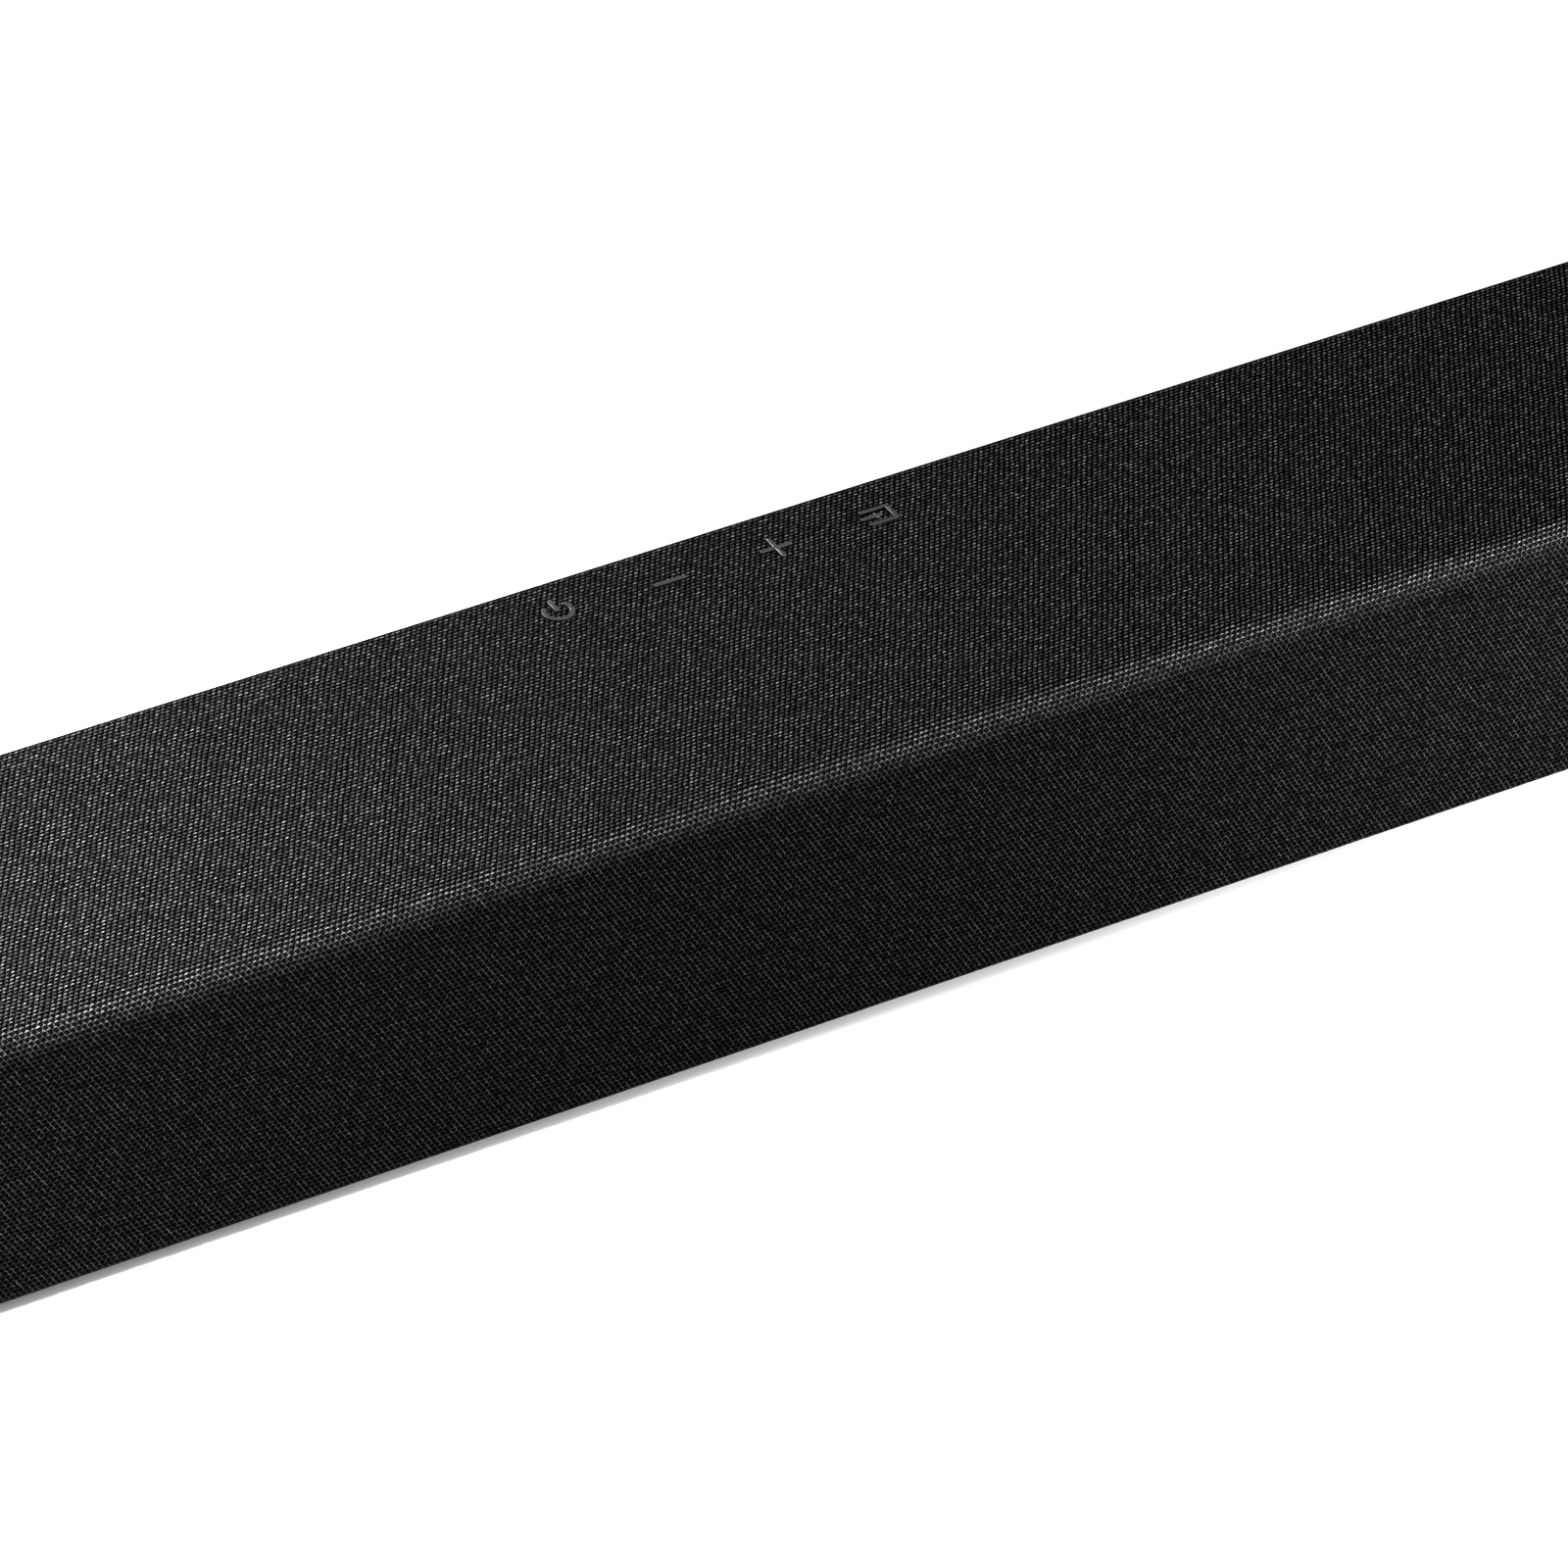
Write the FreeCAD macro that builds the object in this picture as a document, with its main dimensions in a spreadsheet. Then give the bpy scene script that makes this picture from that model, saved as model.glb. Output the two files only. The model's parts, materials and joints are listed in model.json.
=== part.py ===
import FreeCAD, Part
import math
import os
import re

import Sketcher

# A slim soundbar: a woven skin over a perforated grille shell, closed from below and behind by a
# moulded housing, with an end cap on each end. Inside are two ported speaker boxes with two full-range
# drivers each, the electronics between them, and four keys whose raised marks stand through the fabric.
#
# Millimetres. The origin is the middle of the footprint, on the surface the bar stands on.
# +X runs along the bar to the right as the listener sees it, -Y faces the listener and +Z is up.

Vector = FreeCAD.Vector
X_AXIS = Vector(1, 0, 0)
Y_AXIS = Vector(0, 1, 0)
Z_AXIS = Vector(0, 0, 1)

# Lengths that differ by less than this are equal.
CLOSE = 1e-4
# How far the middle of a quarter round lies in from its corner, along each side, in radii.
MID_ARC = 1 - math.sqrt(0.5)

SIZES = {
    # the whole bar
    "bar_length": 860,
    "bar_depth": 74,
    "bar_height": 54,
    "foot_height": 2,
    "ridge_radius": 5,
    "edge_radius": 2.5,
    # the skin, the shell under it and the housing that closes them
    "fabric_wall": 0.8,
    "shell_wall": 2.4,
    "housing_wall": 2.8,
    "back_hem": 8,
    "under_hem": 9,
    "seam_gap": 0.3,
    "tongue_reach": 4,
    "tongue_wall": 1.5,
    "tongue_root": 3,
    "end_wall": 2.5,
    "fit_gap": 0.2,
    "cut_margin": 1,
    # grille holes
    "perforation_radius": 2.2,
    "perforation_pitch": 6,
    "indicator_hole_radius": 0.8,
    "indicator_pitch": 8,
    "receiver_hole_radius": 2.6,
    "receiver_offset": 22,
    "indicator_height": 18,
    # end caps
    "cap_length": 12,
    "cap_wall": 2.6,
    "cap_round": 2,
    "cap_boss_radius": 3.2,
    "cap_screw_front": 20,
    "cap_screw_back": 24,
    "cap_screw_height": 27,
    # feet
    "foot_spread": 300,
    "foot_width": 14,
    "foot_length": 46,
    "foot_corner": 6.5,
    "foot_recess": 0.8,
    "foot_bevel": 0.5,
    # vents in the bottom, under the amplifier
    "vent_start": -66,
    "vent_pitch": 5,
    "vent_count": 10,
    "vent_width": 2,
    "vent_front": 20,
    "vent_back": 2,
    # screws: housing and caps
    "boss_radius": 3.6,
    "boss_outer": 408,
    "boss_inner": 110,
    "boss_front": 20,
    "boss_back": 26,
    "screw_radius": 1.4,
    "screw_head_radius": 2.8,
    "screw_head_height": 1.5,
    "screw_length": 12,
    "slot_width": 0.8,
    "slot_depth": 0.8,
    "counterbore_radius": 3.1,
    "counterbore_depth": 1.7,
    # screws: drivers and boards
    "small_screw_radius": 0.9,
    "small_head_radius": 1.4,
    "small_head_height": 0.9,
    "small_screw_length": 4,
    # wall-mount inserts
    "insert_spread": 300,
    "insert_height": 30,
    "insert_radius": 3,
    "insert_bore": 2,
    "insert_length": 8,
    "insert_boss_radius": 4.8,
    # jack bay in the back
    "bay_half_width": 75,
    "bay_low": 10,
    "bay_high": 37.6,
    "bay_wall": 2,
    "bay_floor": 15,
    # keys
    "key_pitch": 20.7,
    "key_line": 25.15,
    "key_gap": 0.1,
    "key_top_radius": 5.4,
    "key_window_radius": 5.6,
    "key_flange_radius": 6.2,
    "key_flange_low": 49.6,
    "key_flange_high": 50.6,
    "key_stem_radius": 1.6,
    "key_stem_low": 45.7,
    "mark_proud": 0.35,
    "mark_stroke": 0.76,
    "mark_gap": 0.14,
    "mark_arm": 3.1,
    "ring_radius": 2.45,
    "ring_sweep": 256,
    "ring_shift": 1.4,
    "stem_near": 1.75,
    "stem_far": 4.45,
    "bracket_left": 2.9,
    "bracket_right": 2,
    "bracket_rise": 2,
    "arrow_tail": 3.65,
    "arrow_tip": 0.3,
    "arrow_head": 1,
    # what carries the keys
    "carrier_low": 46.6,
    "carrier_high": 48.2,
    "carrier_half_length": 50,
    "carrier_half_width": 5,
    "carrier_post": 5,
    "carrier_post_back": 4,
    "carrier_bore": 2,
    "key_board_low": 38.4,
    "key_board_high": 40,
    "key_board_lip": 2,
    "key_screw_shift": 1,
    "switch_side": 6,
    "switch_height": 3.6,
    "plunger_radius": 1.7,
    "plunger_height": 1.6,
    # main board and what stands on it
    "board_half_length": 90,
    "board_front": 24,
    "board_back": 14.6,
    "board_low": 19,
    "board_wall": 1.6,
    "standoff_radius": 3,
    "standoff_inset": 5,
    "pilot_radius": 0.9,
    "pilot_spare": 1,
    "sink_start": -66,
    "sink_end": -22,
    "sink_front": -21,
    "sink_pitch": 3,
    "sink_fins": 6,
    "fin_wall": 1.2,
    "fin_height": 14,
    "sink_base": 2.4,
    "chip_side": 12,
    "chip_height": 1.6,
    "capacitor_radius": 5,
    "capacitor_height": 14,
    "capacitor_count": 4,
    "capacitor_pitch": 12.5,
    "capacitor_start": 22,
    "capacitor_line": -14,
    "radio_start": 60,
    "radio_end": 84,
    "radio_front": -6,
    "radio_back": 4,
    "radio_wall": 0.8,
    "shield_margin": 1,
    "shield_length": 14,
    "shield_height": 2,
    # sockets, all facing backwards through the bay's floor
    "socket_mouth": 17.4,
    "socket_depth": 14,
    "contact_setback": 1.5,
    "inlet_place": -56,
    "inlet_width": 9.5,
    "inlet_height": 11,
    "inlet_bore": 2.8,
    "inlet_pin": 1,
    "inlet_reach": 9,
    "hdmi_place": -32,
    "hdmi_width": 15.2,
    "hdmi_height": 6.4,
    "hdmi_wall": 0.6,
    "hdmi_tongue_width": 11.8,
    "hdmi_tongue_wall": 1.2,
    "optical_place": -7,
    "optical_side": 10,
    "optical_opening": 6.4,
    "optical_reach": 9,
    "usb_place": 17,
    "usb_width": 14.4,
    "usb_height": 7,
    "usb_wall": 0.6,
    "usb_tongue_wall": 1.9,
    "usb_tongue_width": 11.2,
    "audio_place": 41,
    "audio_side": 8,
    "audio_bore": 1.8,
    "audio_reach": 12,
    # indicator board behind the grille
    "indicator_board_start": -16,
    "indicator_board_end": 30,
    "indicator_board_low": 11,
    "indicator_board_high": 26,
    "indicator_board_back": 29,
    "lamp_side": 2,
    "lamp_depth": 1,
    "receiver_width": 6,
    "receiver_height": 6.8,
    "receiver_depth": 1.4,
    "receiver_lens": 1,
    # cables that stay inside
    "ribbon_half_width": 6,
    "ribbon_wall": 0.3,
    "ribbon_bend": 3,
    "lead_radius": 1.1,
    "lead_bend": 8,
    "lead_start": 84,
    "lead_rise": 106,
    "lead_line": 6,
    "lead_low": 24,
    "lead_high": 44.6,
    "lead_shift": 5,
    # speaker boxes
    "box_start": 122,
    "box_end": 398,
    "box_front": 27,
    "box_back": 26,
    "box_low": 7.2,
    "box_high": 49.6,
    "box_wall": 2.2,
    "baffle_wall": 3,
    "rail_wall": 2,
    "rail_line": 12,
    "port_place": 259,
    "port_height": 26,
    "port_radius": 10,
    "port_wall": 1.6,
    "port_flare": 14,
    "port_flare_depth": 5,
    "port_bell": 1,
    "port_length": 40,
    # drivers, sized along their own axis from the baffle's front face
    "driver_near": 184,
    "driver_far": 334,
    "driver_height": 28.4,
    "baffle_hole": 17.6,
    "flange_radius": 20.6,
    "flange_wall": 1.4,
    "cage_radius": 17.4,
    "cage_foot": 14,
    "cage_depth": 9.3,
    "cage_wall": 1.2,
    "cage_window": 7,
    "driver_screw_circle": 19,
    "motor_bore": 8.6,
    "motor_radius": 13.6,
    "magnet_bore": 10,
    "pole_radius": 6.9,
    "top_plate": 2,
    "magnet_height": 5,
    "back_plate": 2.5,
    "cone_radius": 12.8,
    "cone_neck": 8.1,
    "cone_depth": 5,
    "cone_front": 0.7,
    "paper_wall": 0.5,
    "dome_height": 2.6,
    "coil_inner": 7.5,
    "coil_outer": 7.9,
    "coil_end": 14.4,
    "roll_radius": 1.5,
    "roll_wall": 0.4,
    "spider_wall": 0.4,
    "spider_rise": 0.9,
    "spider_outer": 12.6,
    "glue_gap": 0.1,
}

doc = FreeCAD.newDocument("soundbar")
dims = doc.addObject("Spreadsheet::Sheet", "dims")
for row, (alias, size) in enumerate(SIZES.items(), start=1):
    dims.set(f"A{row}", alias)
    dims.set(f"B{row}", str(size))
    dims.setAlias(f"B{row}", alias)
doc.recompute()

nodes = []

# Planes of the bar that many pieces share, as formulas of the sheet's values.
FRONT = "(0 - bar_depth / 2)"
BACK = "(bar_depth / 2)"
CAP_PLANE = "(bar_length / 2 - cap_length)"
CEILING = "(bar_height - fabric_wall - shell_wall)"
INNER_FRONT = f"({FRONT} + fabric_wall + shell_wall)"
INNER_BACK = f"({BACK} - housing_wall)"
FLOOR = "(foot_height + housing_wall)"
BOARD_TOP = "(board_low + board_wall)"
BAFFLE_FRONT = "(0 - box_front - baffle_wall)"
KEY_TOP = "(bar_height - fabric_wall - key_gap)"
MOTOR_FRONT = "(cage_depth + cage_wall)"

SIDES = {"left": -1, "right": 1}
KEYS = {"power": -1.5, "minus": -0.5, "plus": 0.5, "source": 1.5}
DRIVERS = {
    "left_outer": "(0 - driver_far)",
    "left_inner": "(0 - driver_near)",
    "right_inner": "(driver_near)",
    "right_outer": "(driver_far)",
}
BOSSES = [
    (f"{side} * {along}", across)
    for side in SIDES.values()
    for along in ("boss_inner", "boss_outer")
    for across in ("(0 - boss_front)", "boss_back")
]


# ---- formulas and primitives ----

def bound(formula):
    """A formula of plain names, with each name pointing at its cell."""
    return re.sub(r"[a-z]\w*", lambda word: f"dims.{word[0]}", formula)


def value(formula):
    return float(dims.evalExpression(bound(formula)))


def bind(item, **formulas):
    for prop, formula in formulas.items():
        item.setExpression(prop, bound(formula))


def place(item, x="0", y="0", z="0"):
    for letter, formula in zip("xyz", (x, y, z)):
        item.setExpression(f"Placement.Base.{letter}", bound(formula))
    return item


def box(name, x, y, z):
    """A block between pairs of formulas."""
    item = doc.addObject("Part::Box", name)
    spans = [f"({high}) - ({low})" for low, high in (x, y, z)]
    bind(item, Length=spans[0], Width=spans[1], Height=spans[2])
    return place(item, x[0], y[0], z[0])


def rod(name, radius, length, start, axis=Z_AXIS):
    item = doc.addObject("Part::Cylinder", name)
    item.Placement.Rotation = FreeCAD.Rotation(Z_AXIS, axis)
    bind(item, Radius=radius, Height=length)
    return place(item, *start)


def fused(name, pieces):
    item = doc.addObject("Part::MultiFuse", name)
    item.Shapes = pieces
    return item


def group(name, pieces):
    """Separate solids that share one node."""
    item = doc.addObject("Part::Compound", name)
    item.Links = pieces
    return item


def cut(name, base, tool):
    item = doc.addObject("Part::Cut", name)
    item.Base = base
    item.Tool = tool
    return item


def node(item):
    """Mark a finished sub-part, whose label names its file."""
    nodes.append(item)
    return item


# ---- sketches and features ----

def new_body(name):
    return doc.addObject("PartDesign::Body", name)


def sketch_on(body, role, offset="0"):
    """A sketch on one of the body's own planes, moved along that plane's normal."""
    sketch = body.newObject("Sketcher::SketchObject", f"{body.Name}_sketch")
    plane = next(item for item in body.Origin.OriginFeatures if item.Role == role)
    sketch.AttachmentSupport = [(plane, "")]
    sketch.MapMode = "FlatFace"
    sketch.setExpression("AttachmentOffset.Base.z", bound(offset))
    return sketch


def pin(sketch, geometry, end, x, y):
    """Hold one point of a sketch element at (x, y)."""
    for kind, formula in (("DistanceX", x), ("DistanceY", y)):
        rule = Sketcher.Constraint(kind, -1, 1, geometry, end, value(formula))
        index = sketch.addConstraint(rule)
        sketch.setExpression(f"Constraints[{index}]", bound(formula))


def circle(sketch, x, y, radius):
    centre = Vector(value(x), value(y), 0)
    ring = sketch.addGeometry(Part.Circle(centre, Z_AXIS, value(radius)))
    pin(sketch, ring, 3, x, y)
    index = sketch.addConstraint(Sketcher.Constraint("Radius", ring, value(radius)))
    sketch.setExpression(f"Constraints[{index}]", bound(radius))


def arc_between(sketch, start, middle, end):
    """An arc held at both of its ends."""
    points = [Vector(value(x), value(y), 0) for x, y in (start, middle, end)]
    arc = sketch.addGeometry(Part.Arc(*points))
    forward = sketch.getPoint(arc, 1).distanceToPoint(points[0]) < CLOSE
    first, last = (1, 2) if forward else (2, 1)
    pin(sketch, arc, first, *start)
    pin(sketch, arc, last, *end)
    return arc


def corner_round(sketch, corner, behind, ahead):
    """The round of a corner (x, y, radius) and the points where it begins and ends."""
    x, y, radius = corner
    arrive, leave = (
        (f"{x} + {round(way.x)} * ({radius})", f"{y} + {round(way.y)} * ({radius})")
        for way in (behind, ahead)
    )
    inward = behind + ahead
    middle = (
        f"{x} + {round(inward.x)} * {MID_ARC} * ({radius})",
        f"{y} + {round(inward.y)} * {MID_ARC} * ({radius})",
    )
    arc = arc_between(sketch, arrive, middle, leave)
    rule = sketch.addConstraint(Sketcher.Constraint("Radius", arc, value(radius)))
    sketch.setExpression(f"Constraints[{rule}]", bound(radius))
    return arrive, leave


def outline(sketch, corners):
    """Draw a closed outline.

    A corner is (x, y), (x, y, radius) where two square runs meet in a round, or
    (x, y, None, (via_x, via_y)) where the run that leaves it is an arc through that point.
    """
    count = len(corners)
    spots = [Vector(value(corner[0]), value(corner[1]), 0) for corner in corners]
    arrivals = []
    departures = []
    for index, corner in enumerate(corners):
        arrive = leave = corner[:2]
        if len(corner) == 3:
            behind = (spots[index - 1] - spots[index]).normalize()
            ahead = (spots[(index + 1) % count] - spots[index]).normalize()
            arrive, leave = corner_round(sketch, corner, behind, ahead)
        arrivals.append(arrive)
        departures.append(leave)
    for index, corner in enumerate(corners):
        start = departures[index]
        end = arrivals[(index + 1) % count]
        if len(corner) > 3:
            arc = arc_between(sketch, start, corner[3], end)
            via = Vector(value(corner[3][0]), value(corner[3][1]), 0)
            marker = sketch.addGeometry(Part.Point(via), True)
            pin(sketch, marker, 1, *corner[3])
            sketch.addConstraint(Sketcher.Constraint("PointOnObject", marker, 1, arc))
            continue
        ends = [Vector(value(x), value(y), 0) for x, y in (start, end)]
        line = sketch.addGeometry(Part.LineSegment(*ends))
        pin(sketch, line, 1, *start)
        pin(sketch, line, 2, *end)


def rectangle(sketch, x, y):
    outline(sketch, [(x[0], y[0]), (x[1], y[0]), (x[1], y[1]), (x[0], y[1])])


def pad(body, sketch, length, side="One side", backwards=False):
    feature = body.newObject("PartDesign::Pad", f"{body.Name}_pad")
    feature.Profile = sketch
    feature.SideType = side
    feature.Reversed = backwards
    bind(feature, Length=length)
    return feature


def pocket(body, sketch, depth, backwards=False):
    """Cut the sketch to a depth, against its normal unless backwards."""
    feature = body.newObject("PartDesign::Pocket", f"{body.Name}_pocket")
    feature.Profile = sketch
    feature.Reversed = backwards
    bind(feature, Length=depth)
    return feature


def pocket_through(body, sketch):
    """Cut the sketch right through the body, both ways from its plane."""
    feature = body.newObject("PartDesign::Pocket", f"{body.Name}_through")
    feature.Profile = sketch
    feature.Type = "ThroughAll"
    feature.Midplane = True
    return feature


def repeat_along(body, feature, sketch, count, pitch):
    """Repeat a feature along its sketch's X direction."""
    pattern = body.newObject("PartDesign::LinearPattern", f"{body.Name}_pattern")
    pattern.Originals = [feature]
    pattern.Direction = (sketch, ["H_Axis"])
    pattern.Mode = "Spacing"
    bind(pattern, Occurrences=count, Offset=pitch)
    body.Tip = pattern


def extruded(name, role, corners, length, offset="0", side="One side", backwards=False):
    body = new_body(name)
    sketch = sketch_on(body, role, offset)
    outline(sketch, corners)
    pad(body, sketch, length, side, backwards)
    return body


def turned(name, corners):
    """A body of revolution about the bar's depth axis; corners are (radius, distance along it)."""
    body = new_body(name)
    sketch = sketch_on(body, "XY_Plane")
    outline(sketch, corners)
    feature = body.newObject("PartDesign::Revolution", f"{name}_turn")
    feature.Profile = sketch
    feature.ReferenceAxis = (sketch, ["V_Axis"])
    feature.Angle = 360
    return body


def dress_edges(body, kind, size, keep):
    """Round or bevel the edges of the body's last feature for which keep(edge) is true."""
    doc.recompute()
    last = body.Tip
    names = [f"Edge{i}" for i, edge in enumerate(last.Shape.Edges, start=1) if keep(edge)]
    feature = body.newObject(f"PartDesign::{kind}", f"{body.Name}_{kind}")
    feature.Base = (last, names)
    bind(feature, **{"Radius" if kind == "Fillet" else "Size": size})
    return feature


# ---- casing ----

def wrapped_outline(inset, wall):
    """Section of a skin that runs down the back, over the top, down the front and under the bottom."""
    corners = []
    for depth in (inset, f"({inset} + {wall})"):
        back = f"({BACK} - {depth})"
        front = f"({FRONT} + {depth})"
        top = f"(bar_height - {depth})"
        under = f"(foot_height + {depth})"
        edge = f"(edge_radius - {depth})"
        ridge = f"(ridge_radius - {depth})"
        edge_round = (edge,) if value(edge) > 0 else ()
        corners.append([
            (back, "(bar_height - back_hem)"),
            (back, top) + edge_round,
            (front, top, ridge),
            (front, under) + edge_round,
            (f"({FRONT} + under_hem)", under),
        ])
    outer, inner = corners
    return outer + inner[::-1]


def key_x(mark):
    return f"({KEYS[mark]} * key_pitch)"


def mark_strokes(name, mark, grow, low, high):
    """The round-ended strokes of one key's mark, each wider all round by grow."""
    middle = key_x(mark)
    half = f"(mark_stroke / 2 + {grow})"
    height = f"{high} - {low}"

    def dot(tag, x, y):
        return rod(f"{name}_{tag}", half, height, (f"{middle} + {x}", f"key_line + {y}", low))

    def bar(tag, start, end):
        upright = start[0] == end[0]
        wide, tall = (half, "0") if upright else ("0", half)
        return box(
            f"{name}_{tag}",
            (f"{middle} + {start[0]} - {wide}", f"{middle} + {end[0]} + {wide}"),
            (f"key_line + {start[1]} - {tall}", f"key_line + {end[1]} + {tall}"),
            (low, high),
        )

    def stroke(tag, start, end):
        return [bar(tag, start, end), dot(f"{tag}_start", *start), dot(f"{tag}_end", *end)]

    reach = "(mark_arm - mark_stroke / 2)"
    across = stroke("bar", (f"(0 - {reach})", "0"), (reach, "0"))
    if mark == "minus":
        return across
    if mark == "plus":
        return across + stroke("cross", ("0", f"(0 - {reach})"), ("0", reach))
    if mark == "power":
        return ring_strokes(name, middle, half, (low, height), dot) + stroke(
            "stem", ("0", "stem_near"), ("0", "stem_far")
        )
    head = doc.addObject("Part::Prism", f"{name}_head")
    head.Polygon = 3
    bind(head, Circumradius=f"arrow_head + 2 * {grow}", Height=height)
    place(head, f"{middle} + arrow_tip - arrow_head", "key_line", low)
    arrow = [*stroke("shaft", ("(0 - arrow_tail)", "0"), ("(0 - arrow_head)", "0")), head]
    turn = "(bracket_right - mark_stroke / 2)"
    inside = "(bracket_rise - mark_stroke / 2)"
    bracket = [bar("side", ("bracket_right", f"(0 - {inside})"), ("bracket_right", inside))]
    for tag, line, angle in (("far", 1, 0), ("near", -1, 270)):
        start = ("(0 - bracket_left)", f"({line} * bracket_rise)")
        corner = rod(
            f"{name}_{tag}_corner", f"mark_stroke + {grow}", height,
            (f"{middle} + {turn}", f"key_line + {line} * {inside}", low),
        )
        corner.Placement.Rotation = FreeCAD.Rotation(Z_AXIS, angle)
        corner.Angle = 90
        bracket += [bar(tag, start, (turn, start[1])), dot(f"{tag}_end", *start), corner]
    return arrow + bracket


def ring_strokes(name, middle, half, span, dot):
    """The power mark's ring, open towards the back, with its two round ends."""
    low, height = span
    discs = []
    for tag, radius in (("rim", f"ring_radius + {half}"), ("eye", f"ring_radius - {half}")):
        disc = rod(f"{name}_{tag}", radius, height, (middle, "key_line + ring_shift", low))
        discs.append(disc)
    rim = discs[0]
    rim.Placement.Rotation = FreeCAD.Rotation(Z_AXIS, 270 - value("ring_sweep") / 2)
    bind(rim, Angle="ring_sweep")
    opening = math.radians(180 - value("ring_sweep") / 2)
    across, along = math.sin(opening), math.cos(opening)
    ends = [
        dot(f"end_{step}", f"({step * across}) * ring_radius", f"ring_shift + {along} * ring_radius")
        for step in (-1, 1)
    ]
    return [cut(f"{name}_ring", *discs), *ends]


def make_fabric():
    """The woven skin, with a slit for each stroke of the keys' marks."""
    skin = extruded(
        "fabric_skin", "YZ_Plane", wrapped_outline("0", "fabric_wall"), f"2 * {CAP_PLANE}",
        side="Symmetric",
    )
    slits = []
    for mark in KEYS:
        low = "(bar_height - 2 * fabric_wall)"
        slits += mark_strokes(f"slit_{mark}", mark, "mark_gap", low, "(bar_height + cut_margin)")
    node(cut("fabric_wrap", skin, fused("fabric_slits", slits)))


def make_grille_shell():
    """The moulded shell that the fabric is stretched over."""
    body = extruded(
        "grille_shell", "YZ_Plane", wrapped_outline("fabric_wall", "shell_wall"),
        f"2 * {CAP_PLANE} - 2 * seam_gap", side="Symmetric",
    )
    windows = sketch_on(body, "XY_Plane")
    for mark in KEYS:
        circle(windows, key_x(mark), "key_line", "key_window_radius")
    pocket_through(body, windows)
    # Three rings of holes round a middle one, in front of each driver.
    rings = 3
    for centre in DRIVERS.values():
        holes = sketch_on(body, "XZ_Plane")
        for row in range(-rings, rings + 1):
            for step in range(-rings, rings + 1):
                if abs(row + step) > rings:
                    continue
                circle(
                    holes,
                    f"{centre} + perforation_pitch * {step + row / 2}",
                    f"driver_height + perforation_pitch * {row * math.sqrt(3) / 2}",
                    "perforation_radius",
                )
        pocket_through(body, holes)
    lights = sketch_on(body, "XZ_Plane")
    for step in (-1, 0, 1):
        circle(lights, f"{step} * indicator_pitch", "indicator_height", "indicator_hole_radius")
    circle(lights, "receiver_offset", "indicator_height", "receiver_hole_radius")
    pocket_through(body, lights)
    bosses = sketch_on(body, "XY_Plane", f"{CEILING} + shell_wall / 2")
    for x, y in BOSSES:
        circle(bosses, x, y, "boss_radius")
    pad(body, bosses, f"{CEILING} + shell_wall / 2 - {FLOOR} - fit_gap", backwards=True)
    pilots = sketch_on(body, "XY_Plane", FLOOR)
    for x, y in BOSSES:
        circle(pilots, x, y, "screw_radius")
    pocket(body, pilots, "screw_length", backwards=True)
    node(body)


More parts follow.
